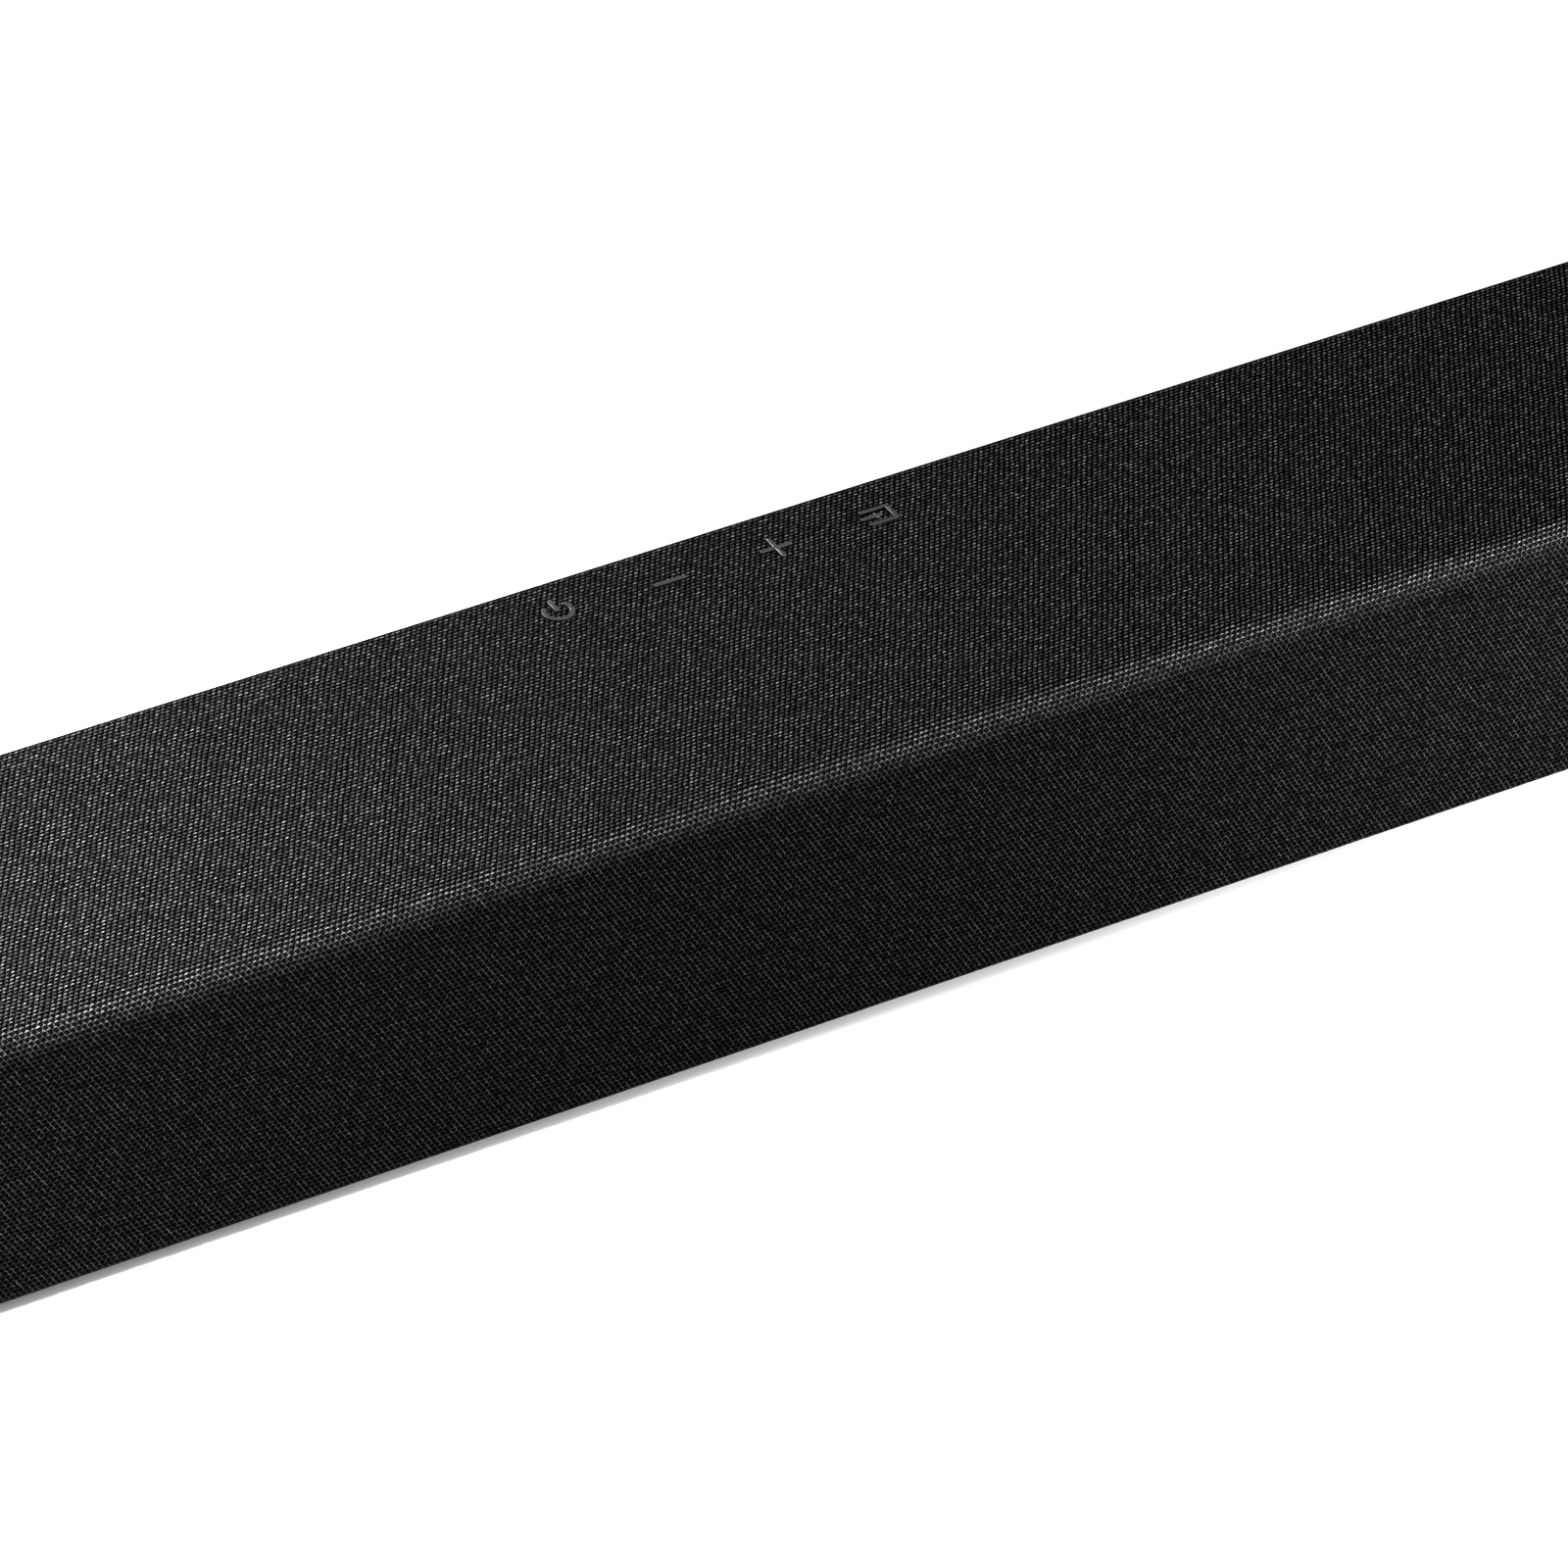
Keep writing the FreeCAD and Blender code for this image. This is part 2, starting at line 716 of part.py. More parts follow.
def make_rear_housing():
    """Bottom, back and end walls in one moulding, with a tongue behind each seam of the shell."""
    seam_back = "(bar_height - back_hem - seam_gap)"
    seam_front = f"({FRONT} + under_hem + seam_gap)"
    lip_inner = "(fabric_wall + shell_wall + fit_gap)"
    tongue_back = f"({BACK} - {lip_inner})"
    tongue_low = f"(foot_height + {lip_inner})"
    body = extruded("rear_housing", "YZ_Plane", [
        (BACK, seam_back),
        (BACK, "foot_height", "edge_radius"),
        (seam_front, "foot_height"),
        (seam_front, tongue_low),
        (f"{seam_front} - tongue_reach", tongue_low),
        (f"{seam_front} - tongue_reach", f"{tongue_low} + tongue_wall"),
        (f"{seam_front} + tongue_root", f"{tongue_low} + tongue_wall"),
        (f"{seam_front} + tongue_root", FLOOR),
        (INNER_BACK, FLOOR),
        (INNER_BACK, f"{seam_back} - tongue_root"),
        (f"{tongue_back} - tongue_wall", f"{seam_back} - tongue_root"),
        (f"{tongue_back} - tongue_wall", f"{seam_back} + tongue_reach / 2"),
        (tongue_back, f"{seam_back} + tongue_reach / 2"),
        (tongue_back, seam_back),
    ], f"2 * {CAP_PLANE} - 2 * seam_gap", side="Symmetric")
    wall_front = f"({INNER_FRONT} + fit_gap)"
    wall_back = f"({INNER_BACK} + housing_wall / 2)"
    wall_low = f"({FLOOR} - housing_wall / 2)"
    wall_high = f"({CEILING} - fit_gap)"
    for side in SIDES.values():
        wall = sketch_on(body, "YZ_Plane", f"{side} * ({CAP_PLANE} - seam_gap - end_wall)")
        outline(wall, [
            (wall_front, tongue_low),
            (seam_front, tongue_low),
            (seam_front, wall_low),
            (wall_back, wall_low),
            (wall_back, seam_back),
            (tongue_back, seam_back),
            (tongue_back, wall_high),
            (wall_front, wall_high, "(ridge_radius / 2)"),
        ])
        pad(body, wall, "end_wall", backwards=side < 0)
    # Rails that carry the speaker boxes.
    rails = sketch_on(body, "XY_Plane", f"{FLOOR} - housing_wall / 2")
    for side in SIDES.values():
        for line in (-1, 1):
            ends = sorted((f"{side} * box_start", f"{side} * box_end"), key=value)
            rectangle(rails, ends, (f"{line} * rail_line - rail_wall", f"{line} * rail_line + rail_wall"))
    pad(body, rails, f"box_low - {FLOOR} + housing_wall / 2")
    posts = sketch_on(body, "XY_Plane", f"{FLOOR} - housing_wall / 2")
    for x, y in board_corners():
        circle(posts, x, y, "standoff_radius")
    pad(body, posts, f"board_low - {FLOOR} + housing_wall / 2")
    pilots = sketch_on(body, "XY_Plane", "board_low")
    for x, y in board_corners():
        circle(pilots, x, y, "pilot_radius")
    pocket(body, pilots, "small_screw_length + pilot_spare")
    inserts = sketch_on(body, "XZ_Plane", f"0 - {BACK} + insert_length")
    for side in SIDES.values():
        circle(inserts, f"{side} * insert_spread", "insert_height", "insert_boss_radius")
    pad(body, inserts, "insert_length - housing_wall / 2", backwards=True)
    back_holes = sketch_on(body, "XZ_Plane")
    rectangle(back_holes, ("0 - bay_half_width", "bay_half_width"), ("bay_low", "bay_high"))
    for side in SIDES.values():
        circle(back_holes, f"{side} * insert_spread", "insert_height", "insert_radius")
        circle(back_holes, f"{side} * port_place", "port_height", "port_flare + fit_gap")
    pocket_through(body, back_holes)
    cap_holes = sketch_on(body, "YZ_Plane")
    circle(cap_holes, "0 - cap_screw_front", "cap_screw_height", "screw_radius")
    circle(cap_holes, "cap_screw_back", "cap_screw_height", "screw_radius")
    pocket_through(body, cap_holes)
    screw_holes = sketch_on(body, "XY_Plane")
    for x, y in BOSSES:
        circle(screw_holes, x, y, "screw_radius")
    pocket(body, screw_holes, "2 * housing_wall + foot_height", backwards=True)
    counterbores = sketch_on(body, "XY_Plane", "foot_height")
    for x, y in BOSSES:
        circle(counterbores, x, y, "counterbore_radius")
    pocket(body, counterbores, "counterbore_depth", backwards=True)
    vent = sketch_on(body, "XY_Plane")
    rectangle(vent, ("vent_start", "vent_start + vent_width"), ("0 - vent_front", "0 - vent_back"))
    first_vent = pocket(body, vent, "2 * housing_wall", backwards=True)
    repeat_along(body, first_vent, vent, "vent_count", "vent_pitch")
    recesses = sketch_on(body, "XY_Plane", "foot_height")
    for side in SIDES.values():
        outline(recesses, foot_outline(side))
    pocket(body, recesses, "foot_recess", backwards=True)
    node(body)


def make_end_cap(name, side):
    """A hollow cap with the bar's full section, held by two screws from inside."""
    body = extruded(name, "YZ_Plane", [
        (BACK, "foot_height", "edge_radius"),
        (BACK, "bar_height", "edge_radius"),
        (FRONT, "bar_height", "ridge_radius"),
        (FRONT, "foot_height", "edge_radius"),
    ], "cap_length", offset=f"{side} * {CAP_PLANE}", backwards=side < 0)
    end = side * value("bar_length / 2")
    dress_edges(
        body, "Fillet", "cap_round",
        lambda edge: abs(edge.BoundBox.XMin - end) < CLOSE and abs(edge.BoundBox.XMax - end) < CLOSE,
    )
    hollow = sketch_on(body, "YZ_Plane", f"{side} * {CAP_PLANE}")
    rectangle(
        hollow,
        (f"{FRONT} + cap_wall", f"{BACK} - cap_wall"),
        ("foot_height + cap_wall", "bar_height - cap_wall"),
    )
    pocket(body, hollow, "cap_length - cap_wall", backwards=side > 0)
    bosses = sketch_on(body, "YZ_Plane", f"{side} * {CAP_PLANE}")
    circle(bosses, "0 - cap_screw_front", "cap_screw_height", "cap_boss_radius")
    circle(bosses, "cap_screw_back", "cap_screw_height", "cap_boss_radius")
    pad(body, bosses, "cap_length - cap_wall / 2", backwards=side < 0)
    pilots = sketch_on(body, "YZ_Plane", f"{side} * {CAP_PLANE}")
    circle(pilots, "0 - cap_screw_front", "cap_screw_height", "screw_radius")
    circle(pilots, "cap_screw_back", "cap_screw_height", "screw_radius")
    pocket(body, pilots, "cap_length - cap_wall", backwards=side > 0)
    node(body)


def foot_outline(side):
    x = (f"{side} * foot_spread - foot_width / 2", f"{side} * foot_spread + foot_width / 2")
    y = ("0 - foot_length / 2", "foot_length / 2")
    return [(x[i], y[j], "foot_corner") for i, j in ((0, 0), (1, 0), (1, 1), (0, 1))]


def make_foot(name, side):
    """A rubber foot, let into the bottom."""
    body = extruded(name, "XY_Plane", foot_outline(side), "foot_height + foot_recess")
    dress_edges(body, "Chamfer", "foot_bevel", lambda edge: edge.BoundBox.ZMax < CLOSE)
    node(body)


def screw(name, head, head_height, shank, length, seat, axis, slot=False):
    """A screw whose head sits on seat and whose shank runs along axis."""
    back = [f"{spot} - {round(step)} * ({head_height})" for spot, step in zip(seat, axis)]
    cap = rod(f"{name}_head", head, head_height, back, axis)
    if slot:
        half = ("0 - slot_width / 2", "slot_width / 2")
        wide = (f"0 - {head}", head)
        low = f"({back[2]})"
        span = (f"{low} - cut_margin", f"{low} + slot_depth")
        bars = []
        for tag, (across, along) in enumerate(((half, wide), (wide, half))):
            x = tuple(f"{seat[0]} + {reach}" for reach in across)
            y = tuple(f"{seat[1]} + {reach}" for reach in along)
            bars.append(box(f"{name}_slot{tag}", x, y, span))
        cap = cut(f"{name}_slotted", cap, fused(f"{name}_slots", bars))
    return fused(name, [cap, rod(f"{name}_shank", shank, length, seat, axis)])


def make_housing_screws():
    """Screws up through the bottom into the shell, and outwards through the end walls into the caps."""
    big = ("screw_head_radius", "screw_head_height", "screw_radius")
    screws = []
    for index, (x, y) in enumerate(BOSSES):
        seat = (x, y, "foot_height + counterbore_depth")
        length = f"{FLOOR} - foot_height - counterbore_depth + screw_length - pilot_spare"
        screws.append(screw(f"bottom_screw_{index}", *big, length, seat, Z_AXIS, slot=True))
    for word, side in SIDES.items():
        for y in ("(0 - cap_screw_front)", "cap_screw_back"):
            seat = (f"{side} * ({CAP_PLANE} - seam_gap - end_wall)", y, "cap_screw_height")
            name = f"cap_screw_{word}_{len(screws)}"
            screws.append(screw(name, *big, "cap_length - cap_wall", seat, X_AXIS * side))
    node(group("housing_screws", screws))


def make_mount_inserts():
    """Brass inserts for wall brackets."""
    inserts = []
    for word, side in SIDES.items():
        start = (f"{side} * insert_spread", f"{BACK} - insert_length", "insert_height")
        outer = rod(f"insert_{word}_outer", "insert_radius", "insert_length", start, Y_AXIS)
        bore = rod(f"insert_{word}_bore", "insert_bore", "insert_length", start, Y_AXIS)
        inserts.append(cut(f"insert_{word}", outer, bore))
    node(group("mount_inserts", inserts))


# ---- keys ----

def make_key(mark):
    """A round plunger under the fabric whose raised mark stands through it."""
    name = f"key_{mark}"
    x = key_x(mark)
    pieces = [
        rod(f"{name}_top", "key_top_radius", f"{KEY_TOP} - key_flange_high",
            (x, "key_line", "key_flange_high")),
        rod(f"{name}_flange", "key_flange_radius", "key_flange_high - key_flange_low",
            (x, "key_line", "key_flange_low")),
        rod(f"{name}_stem", "key_stem_radius", "key_flange_low - key_stem_low",
            (x, "key_line", "key_stem_low")),
    ]
    pieces += mark_strokes(name, mark, "0", KEY_TOP, "(bar_height + mark_proud)")
    node(fused(name, pieces))


def make_key_carrier():
    """The bridge that guides the keys' stems; its two posts hold the key board to the shell."""
    body = new_body("key_carrier")
    bridge = sketch_on(body, "XY_Plane", "carrier_low")
    length = ("0 - carrier_half_length", "carrier_half_length")
    width = ("key_line - carrier_half_width", "key_line + carrier_half_width")
    rectangle(bridge, length, width)
    pad(body, bridge, "carrier_high - carrier_low")
    posts = sketch_on(body, "XY_Plane", "key_board_high")
    for side in SIDES.values():
        ends = (f"{side} * carrier_half_length", f"{side} * (carrier_half_length - carrier_post)")
        rectangle(posts, sorted(ends, key=value), (width[0], "key_line + carrier_post_back"))
    pad(body, posts, f"{CEILING} - key_board_high")
    bores = sketch_on(body, "XY_Plane")
    for mark in KEYS:
        circle(bores, key_x(mark), "key_line", "carrier_bore")
    pocket_through(body, bores)
    pilots = sketch_on(body, "XY_Plane", "key_board_high")
    for side in SIDES.values():
        circle(pilots, *key_board_hole(side), "pilot_radius")
    pocket(body, pilots, "small_screw_length", backwards=True)
    node(body)


def key_board_hole(side):
    return f"{side} * (carrier_half_length - carrier_post / 2)", "(key_line - key_screw_shift)"


def make_key_board():
    body = new_body("key_board")
    board = sketch_on(body, "XY_Plane", "key_board_low")
    rectangle(
        board,
        ("0 - carrier_half_length", "carrier_half_length"),
        ("key_line - carrier_half_width - key_board_lip", "key_line + carrier_post_back"),
    )
    for side in SIDES.values():
        circle(board, *key_board_hole(side), "pilot_radius")
    pad(body, board, "key_board_high - key_board_low")
    node(body)


def make_tact_switches():
    """One switch under each stem; its dome returns the key."""
    switches = []
    for mark in KEYS:
        x = key_x(mark)
        case = box(
            f"switch_{mark}_case",
            (f"{x} - switch_side / 2", f"{x} + switch_side / 2"),
            ("key_line - switch_side / 2", "key_line + switch_side / 2"),
            ("key_board_high", "key_board_high + switch_height"),
        )
        start = (x, "key_line", "key_board_high + switch_height")
        plunger = rod(f"switch_{mark}_plunger", "plunger_radius", "plunger_height", start)
        switches.append(fused(f"switch_{mark}", [case, plunger]))
    node(group("tact_switches", switches))


# ---- electronics ----

def board_corners():
    return [
        (f"{side} * (board_half_length - standoff_inset)", y)
        for side in SIDES.values()
        for y in ("(standoff_inset - board_front)", "(board_back - standoff_inset)")
    ]


def make_main_board():
    body = new_body("main_board")
    board = sketch_on(body, "XY_Plane", "board_low")
    rectangle(board, ("0 - board_half_length", "board_half_length"), ("0 - board_front", "board_back"))
    for x, y in board_corners():
        circle(board, x, y, "pilot_radius")
    pad(body, board, "board_wall")
    node(body)


def make_heat_sink():
    """A finned extrusion on top of the amplifier chip."""
    base = f"({BOARD_TOP} + chip_height)"
    depth = "(sink_front + sink_pitch * (sink_fins - 1) + fin_wall)"
    corners = [("sink_front", base), (depth, base)]
    for fin in reversed(range(int(value("sink_fins")))):
        near = f"(sink_front + {fin} * sink_pitch)"
        far = f"({near} + fin_wall)"
        foot = f"({base} + sink_base)"
        tip = f"({base} + fin_height)"
        corners += [(far, foot)] * (fin < value("sink_fins") - 1)
        corners += [(far, tip), (near, tip)]
        corners += [(near, foot)] * (fin > 0)
    node(extruded("heat_sink", "YZ_Plane", corners, "sink_end - sink_start", offset="sink_start"))


def make_board_parts():
    chip_x = "((sink_start + sink_end) / 2)"
    chip_y = "(sink_front + chip_side / 2)"
    node(box(
        "amplifier_chip",
        (f"{chip_x} - chip_side / 2", f"{chip_x} + chip_side / 2"),
        (f"{chip_y} - chip_side / 2", f"{chip_y} + chip_side / 2"),
        (BOARD_TOP, f"{BOARD_TOP} + chip_height"),
    ))
    cans = []
    for index in range(int(value("capacitor_count"))):
        start = (f"capacitor_start + {index} * capacitor_pitch", "capacitor_line", BOARD_TOP)
        cans.append(rod(f"capacitor_{index}", "capacitor_radius", "capacitor_height", start))
    node(group("capacitors", cans))
    radio_top = f"({BOARD_TOP} + radio_wall)"
    carrier = box(
        "radio_board",
        ("radio_start", "radio_end"),
        ("radio_front", "radio_back"),
        (BOARD_TOP, radio_top),
    )
    shield = box(
        "radio_shield",
        ("radio_start + shield_margin", "radio_start + shield_margin + shield_length"),
        ("radio_front + shield_margin", "radio_back - shield_margin"),
        (radio_top, f"{radio_top} + shield_height"),
    )
    node(fused("wireless_module", [carrier, shield]))


def socket_case(name, centre, width, height):
    """The outer block of a socket that stands on the main board."""
    return box(
        f"{name}_case",
        (f"{centre} - {width} / 2", f"{centre} + {width} / 2"),
        ("socket_mouth - socket_depth", "socket_mouth"),
        (BOARD_TOP, f"{BOARD_TOP} + {height}"),
    )


def socket_height(height):
    return f"({BOARD_TOP} + {height} / 2)"


def make_round_socket(name, centre, width, height, bore, reach, pin_radius=None):
    start = (centre, f"socket_mouth - {reach}", socket_height(height))
    hole = rod(f"{name}_hole", bore, reach, start, Y_AXIS)
    shell = cut(f"{name}_shell" if pin_radius else name, socket_case(name, centre, width, height), hole)
    if pin_radius:
        contact = rod(f"{name}_pin", pin_radius, f"{reach} - contact_setback", start, Y_AXIS)
        shell = fused(name, [shell, contact])
    node(shell)


def make_flat_socket(name, centre, width, height, wall, tongue_width, tongue, lift):
    """A metal shell round a contact tongue, lift being the tongue's height over the middle."""
    middle = socket_height(height)
    y = (f"socket_mouth - socket_depth + 2 * {wall}", "socket_mouth")
    cavity = box(
        f"{name}_cavity",
        (f"{centre} - {width} / 2 + {wall}", f"{centre} + {width} / 2 - {wall}"),
        y,
        (f"{BOARD_TOP} + {wall}", f"{BOARD_TOP} + {height} - {wall}"),
    )
    blade = box(
        f"{name}_tongue",
        (f"{centre} - {tongue_width} / 2", f"{centre} + {tongue_width} / 2"),
        (y[0], f"{y[1]} - contact_setback"),
        (f"{middle} + {lift} - {tongue} / 2", f"{middle} + {lift} + {tongue} / 2"),
    )
    shell = cut(f"{name}_shell", socket_case(name, centre, width, height), cavity)
    node(fused(name, [shell, blade]))


def make_optical_socket():
    middle = socket_height("optical_side")
    opening = box(
        "optical_opening_box",
        ("optical_place - optical_opening / 2", "optical_place + optical_opening / 2"),
        ("socket_mouth - optical_reach", "socket_mouth"),
        (f"{middle} - optical_opening / 2", f"{middle} + optical_opening / 2"),
    )
    case = socket_case("optical_socket", "optical_place", "optical_side", "optical_side")
    node(cut("optical_socket", case, opening))


def make_sockets():
    make_round_socket(
        "power_inlet", "inlet_place", "inlet_width", "inlet_height", "inlet_bore", "inlet_reach",
        "inlet_pin",
    )
    make_flat_socket(
        "hdmi_socket", "hdmi_place", "hdmi_width", "hdmi_height", "hdmi_wall",
        "hdmi_tongue_width", "hdmi_tongue_wall", "0",
    )
    make_optical_socket()
    make_flat_socket(
        "usb_socket", "usb_place", "usb_width", "usb_height", "usb_wall",
        "usb_tongue_width", "usb_tongue_wall", "(usb_tongue_wall / 2)",
    )
    make_round_socket(
        "audio_socket", "audio_place", "audio_side", "audio_side", "audio_bore", "audio_reach"
    )


def make_jack_panel():
    """The tray in the back that the plugs go into; its floor has a window for each socket."""
    outer = {
        "x": ("fit_gap - bay_half_width", "bay_half_width - fit_gap"),
        "z": ("bay_low + fit_gap", "bay_high - fit_gap"),
    }
    body = new_body("jack_panel")
    block = sketch_on(body, "XZ_Plane", f"0 - {BACK}")
    rectangle(block, outer["x"], outer["z"])
    pad(body, block, f"{BACK} - bay_floor")
    hollow = sketch_on(body, "XZ_Plane", f"0 - {BACK}")
    rectangle(
        hollow,
        (f"{outer['x'][0]} + bay_wall", f"{outer['x'][1]} - bay_wall"),
        (f"{outer['z'][0]} + bay_wall", f"{outer['z'][1]} - bay_wall"),
    )
    pocket(body, hollow, f"{BACK} - bay_floor - bay_wall", backwards=True)
    windows = sketch_on(body, "XZ_Plane")
    for centre, width, height in (
        ("inlet_place", "inlet_width", "inlet_height"),
        ("hdmi_place", "hdmi_width", "hdmi_height"),
        ("optical_place", "optical_side", "optical_side"),
        ("usb_place", "usb_width", "usb_height"),
        ("audio_place", "audio_side", "audio_side"),
    ):
        rectangle(
            windows,
            (f"{centre} - {width} / 2 - fit_gap", f"{centre} + {width} / 2 + fit_gap"),
            (f"{BOARD_TOP} - fit_gap", f"{BOARD_TOP} + {height} + fit_gap"),
        )
    pocket_through(body, windows)
    node(body)


def make_indicator_board():
    """A small upright board behind the grille with three lamps, and its infrared receiver."""
    y = ("0 - indicator_board_back - board_wall", "0 - indicator_board_back")
    pieces = [box(
        "indicator_plate",
        ("indicator_board_start", "indicator_board_end"),
        y,
        ("indicator_board_low", "indicator_board_high"),
    )]
    for step in (-1, 0, 1):
        middle = f"{step} * indicator_pitch"
        pieces.append(box(
            f"lamp_{step + 1}",
            (f"{middle} - lamp_side / 2", f"{middle} + lamp_side / 2"),
            (f"{y[0]} - lamp_depth", y[0]),
            ("indicator_height - lamp_side / 2", "indicator_height + lamp_side / 2"),
        ))
    node(fused("indicator_board", pieces))
    case = box(
        "receiver_case",
        ("receiver_offset - receiver_width / 2", "receiver_offset + receiver_width / 2"),
        (f"{y[0]} - receiver_depth", y[0]),
        ("indicator_height - receiver_height / 2", "indicator_height + receiver_height / 2"),
    )
    start = ("receiver_offset", f"{y[0]} - receiver_depth - receiver_lens", "indicator_height")
    lens = rod(
        "receiver_window", "receiver_hole_radius - 2 * fit_gap", "receiver_lens + receiver_depth",
        start, Y_AXIS,
    )
    node(fused("infrared_receiver", [case, lens]))


def make_inner_screws():
    """Identical small screws: four through each driver's flange, and those of the two boards."""
    small = ("small_head_radius", "small_head_height", "small_screw_radius")
    screws = []
    for centre in DRIVERS.values():
        for x, z in screw_circle(centre):
            seat = (x, f"{BAFFLE_FRONT} - flange_wall", z)
            name = f"driver_screw_{len(screws)}"
            screws.append(screw(name, *small, "small_screw_length", seat, Y_AXIS))
    for x, y in board_corners():
        name = f"board_screw_{len(screws)}"
        screws.append(screw(name, *small, "small_screw_length", (x, y, BOARD_TOP), -Z_AXIS))
    for side in SIDES.values():
        seat = (*key_board_hole(side), "key_board_low")
        name = f"key_board_screw_{len(screws)}"
        screws.append(screw(name, *small, "small_screw_length", seat, Z_AXIS))
    node(group("inner_screws", screws))


# ---- cables that stay inside ----

def make_ribbon_cable():
    """A flat cable under the key board, bent down to the main board."""
    top = "(key_board_low - ribbon_wall)"
    inner_bend = "(ribbon_bend - ribbon_wall)"
    node(extruded("ribbon_cable", "YZ_Plane", [
        ("0", BOARD_TOP),
        ("0", f"{top} + ribbon_wall", "ribbon_bend"),
        ("key_line", f"{top} + ribbon_wall"),
        ("key_line", top),
        ("ribbon_wall", top, inner_bend),
        ("ribbon_wall", BOARD_TOP),
    ], "2 * ribbon_half_width", side="Symmetric"))


def lead_tube(points):
    """A tube along straight runs joined by arcs."""
    bend = value("lead_bend")
    spots = [Vector(*(value(formula) for formula in point)) for point in points]
    edges = []
    start = spots[0]
    for before, corner, after in zip(spots, spots[1:], spots[2:]):
        inwards = (before - corner).normalize()
        outwards = (after - corner).normalize()
        into, out = corner + inwards * bend, corner + outwards * bend
        middle = corner + (inwards + outwards) * bend * MID_ARC
        edges.append(Part.LineSegment(start, into).toShape())
        edges.append(Part.Arc(into, middle, out).toShape())
        start = out
    edges.append(Part.LineSegment(start, spots[-1]).toShape())
    heading = (spots[1] - spots[0]).normalize()
    section = Part.Wire(Part.Circle(spots[0], heading, value("lead_radius")).toShape())
    return Part.Wire(edges).makePipeShell([section], True, False)


def make_speaker_leads(name, side):
    """One lead for each driver of a side, from the main board to the back of its magnet."""
    tubes = []
    back = f"({BAFFLE_FRONT} + {MOTOR_FRONT} + top_plate + magnet_height + back_plate)"
    for centre, line in (("driver_near", "lead_line"), ("driver_far", "(lead_line + lead_shift)")):
        x = {spot: f"{side} * {spot}" for spot in ("lead_start", "lead_rise", centre)}
        tubes.append(lead_tube([
            (x["lead_start"], line, "lead_low"),
            (x["lead_rise"], line, "lead_low"),
            (x["lead_rise"], line, "lead_high"),
            (x[centre], line, "lead_high"),
            (x[centre], line, "driver_height"),
            (x[centre], back, "driver_height"),
        ]))
    item = doc.addObject("Part::Feature", name)
    item.Shape = Part.makeCompound(tubes)
    node(item)


# ---- speaker boxes and drivers ----

def screw_circle(centre, height="driver_height"):
    """Centres of a driver's four screws in the plane of the baffle."""
    reach = f"{math.sqrt(0.5)} * driver_screw_circle"
    return [
        (f"{centre} + {right} * {reach}", f"{height} + {up} * {reach}")
        for right in (-1, 1)
        for up in (-1, 1)
    ]


def side_spans(side):
    return sorted((f"{side} * box_start", f"{side} * box_end"), key=value)


def make_enclosure(name, side):
    """A speaker box, open at the front where the baffle closes it."""
    body = new_body(name)
    ends = side_spans(side)
    block = sketch_on(body, "XZ_Plane", "box_front")
    rectangle(block, ends, ("box_low", "box_high"))
    pad(body, block, "box_front + box_back", backwards=True)
    hollow = sketch_on(body, "XZ_Plane", "box_front")
    rectangle(
        hollow,
        (f"{ends[0]} + box_wall", f"{ends[1]} - box_wall"),
        ("box_low + box_wall", "box_high - box_wall"),
    )
    pocket(body, hollow, "box_front + box_back - box_wall")
    outlet = sketch_on(body, "XZ_Plane")
    circle(outlet, f"{side} * port_place", "port_height", "port_radius + port_wall")
    pocket(body, outlet, "2 * box_back")
    lead_holes = sketch_on(body, "YZ_Plane", f"{side} * (box_start + box_wall)")
    for line in ("lead_line", "lead_line + lead_shift"):
        circle(lead_holes, line, "lead_high", "lead_radius + fit_gap")
    pocket(body, lead_holes, "2 * box_wall", backwards=side < 0)
    node(body)


def make_baffle(name, side):
    body = new_body(name)
    plate = sketch_on(body, "XZ_Plane", "box_front")
    rectangle(plate, side_spans(side), ("box_low", "box_high"))
    for spot in ("driver_near", "driver_far"):
        centre = f"({side} * {spot})"
        circle(plate, centre, "driver_height", "baffle_hole")
        for x, z in screw_circle(centre):
            circle(plate, x, z, "small_screw_radius")
    pad(body, plate, "baffle_wall")
    node(body)


def make_port_tube(name, side):
    """A bass port that flares where it meets the back."""
    near = f"({BACK} - port_length)"
    bore = "port_radius"
    skin = "(port_radius + port_wall)"
    flare = f"({BACK} - port_flare_depth)"
    bell = f"({bore} + port_bell)"
    halfway = f"({BACK} - port_flare_depth / 2)"
    body = turned(name, [
        (bore, near),
        (skin, near),
        (skin, flare, None, (f"{bell} + port_wall", halfway)),
        ("port_flare", BACK),
        ("port_flare - port_wall / 2", BACK, None, (bell, halfway)),
        (bore, flare),
    ])
    node(place(body, f"{side} * port_place", "0", "port_height"))


def make_basket(name, centre):
    """The driver's frame: a screwed flange and an open cage that carries the motor."""
    rim = "(cage_radius - cage_wall)"
    body = turned(name, [
        (rim, "0 - flange_wall"),
        ("flange_radius", "0 - flange_wall"),
        ("flange_radius", "0"),
        ("cage_radius", "0"),
        ("cage_foot", "cage_depth"),
        ("cage_foot", MOTOR_FRONT),
        ("magnet_bore", MOTOR_FRONT),
        ("magnet_bore", "cage_depth"),
        ("cage_foot - cage_wall", "cage_depth"),
        (rim, "0"),
    ])
    holes = sketch_on(body, "XZ_Plane")
    for x, z in screw_circle("0", "0"):
        circle(holes, x, z, "small_screw_radius")
    pocket(body, holes, "flange_wall", backwards=True)
    windows = sketch_on(body, "XY_Plane")
    rectangle(
        windows,
        ("0 - cage_window / 2", "cage_window / 2"),
        ("cage_wall", "cage_depth - cage_wall"),
    )
    pocket_through(body, windows)
    node(set_driver(body, centre))


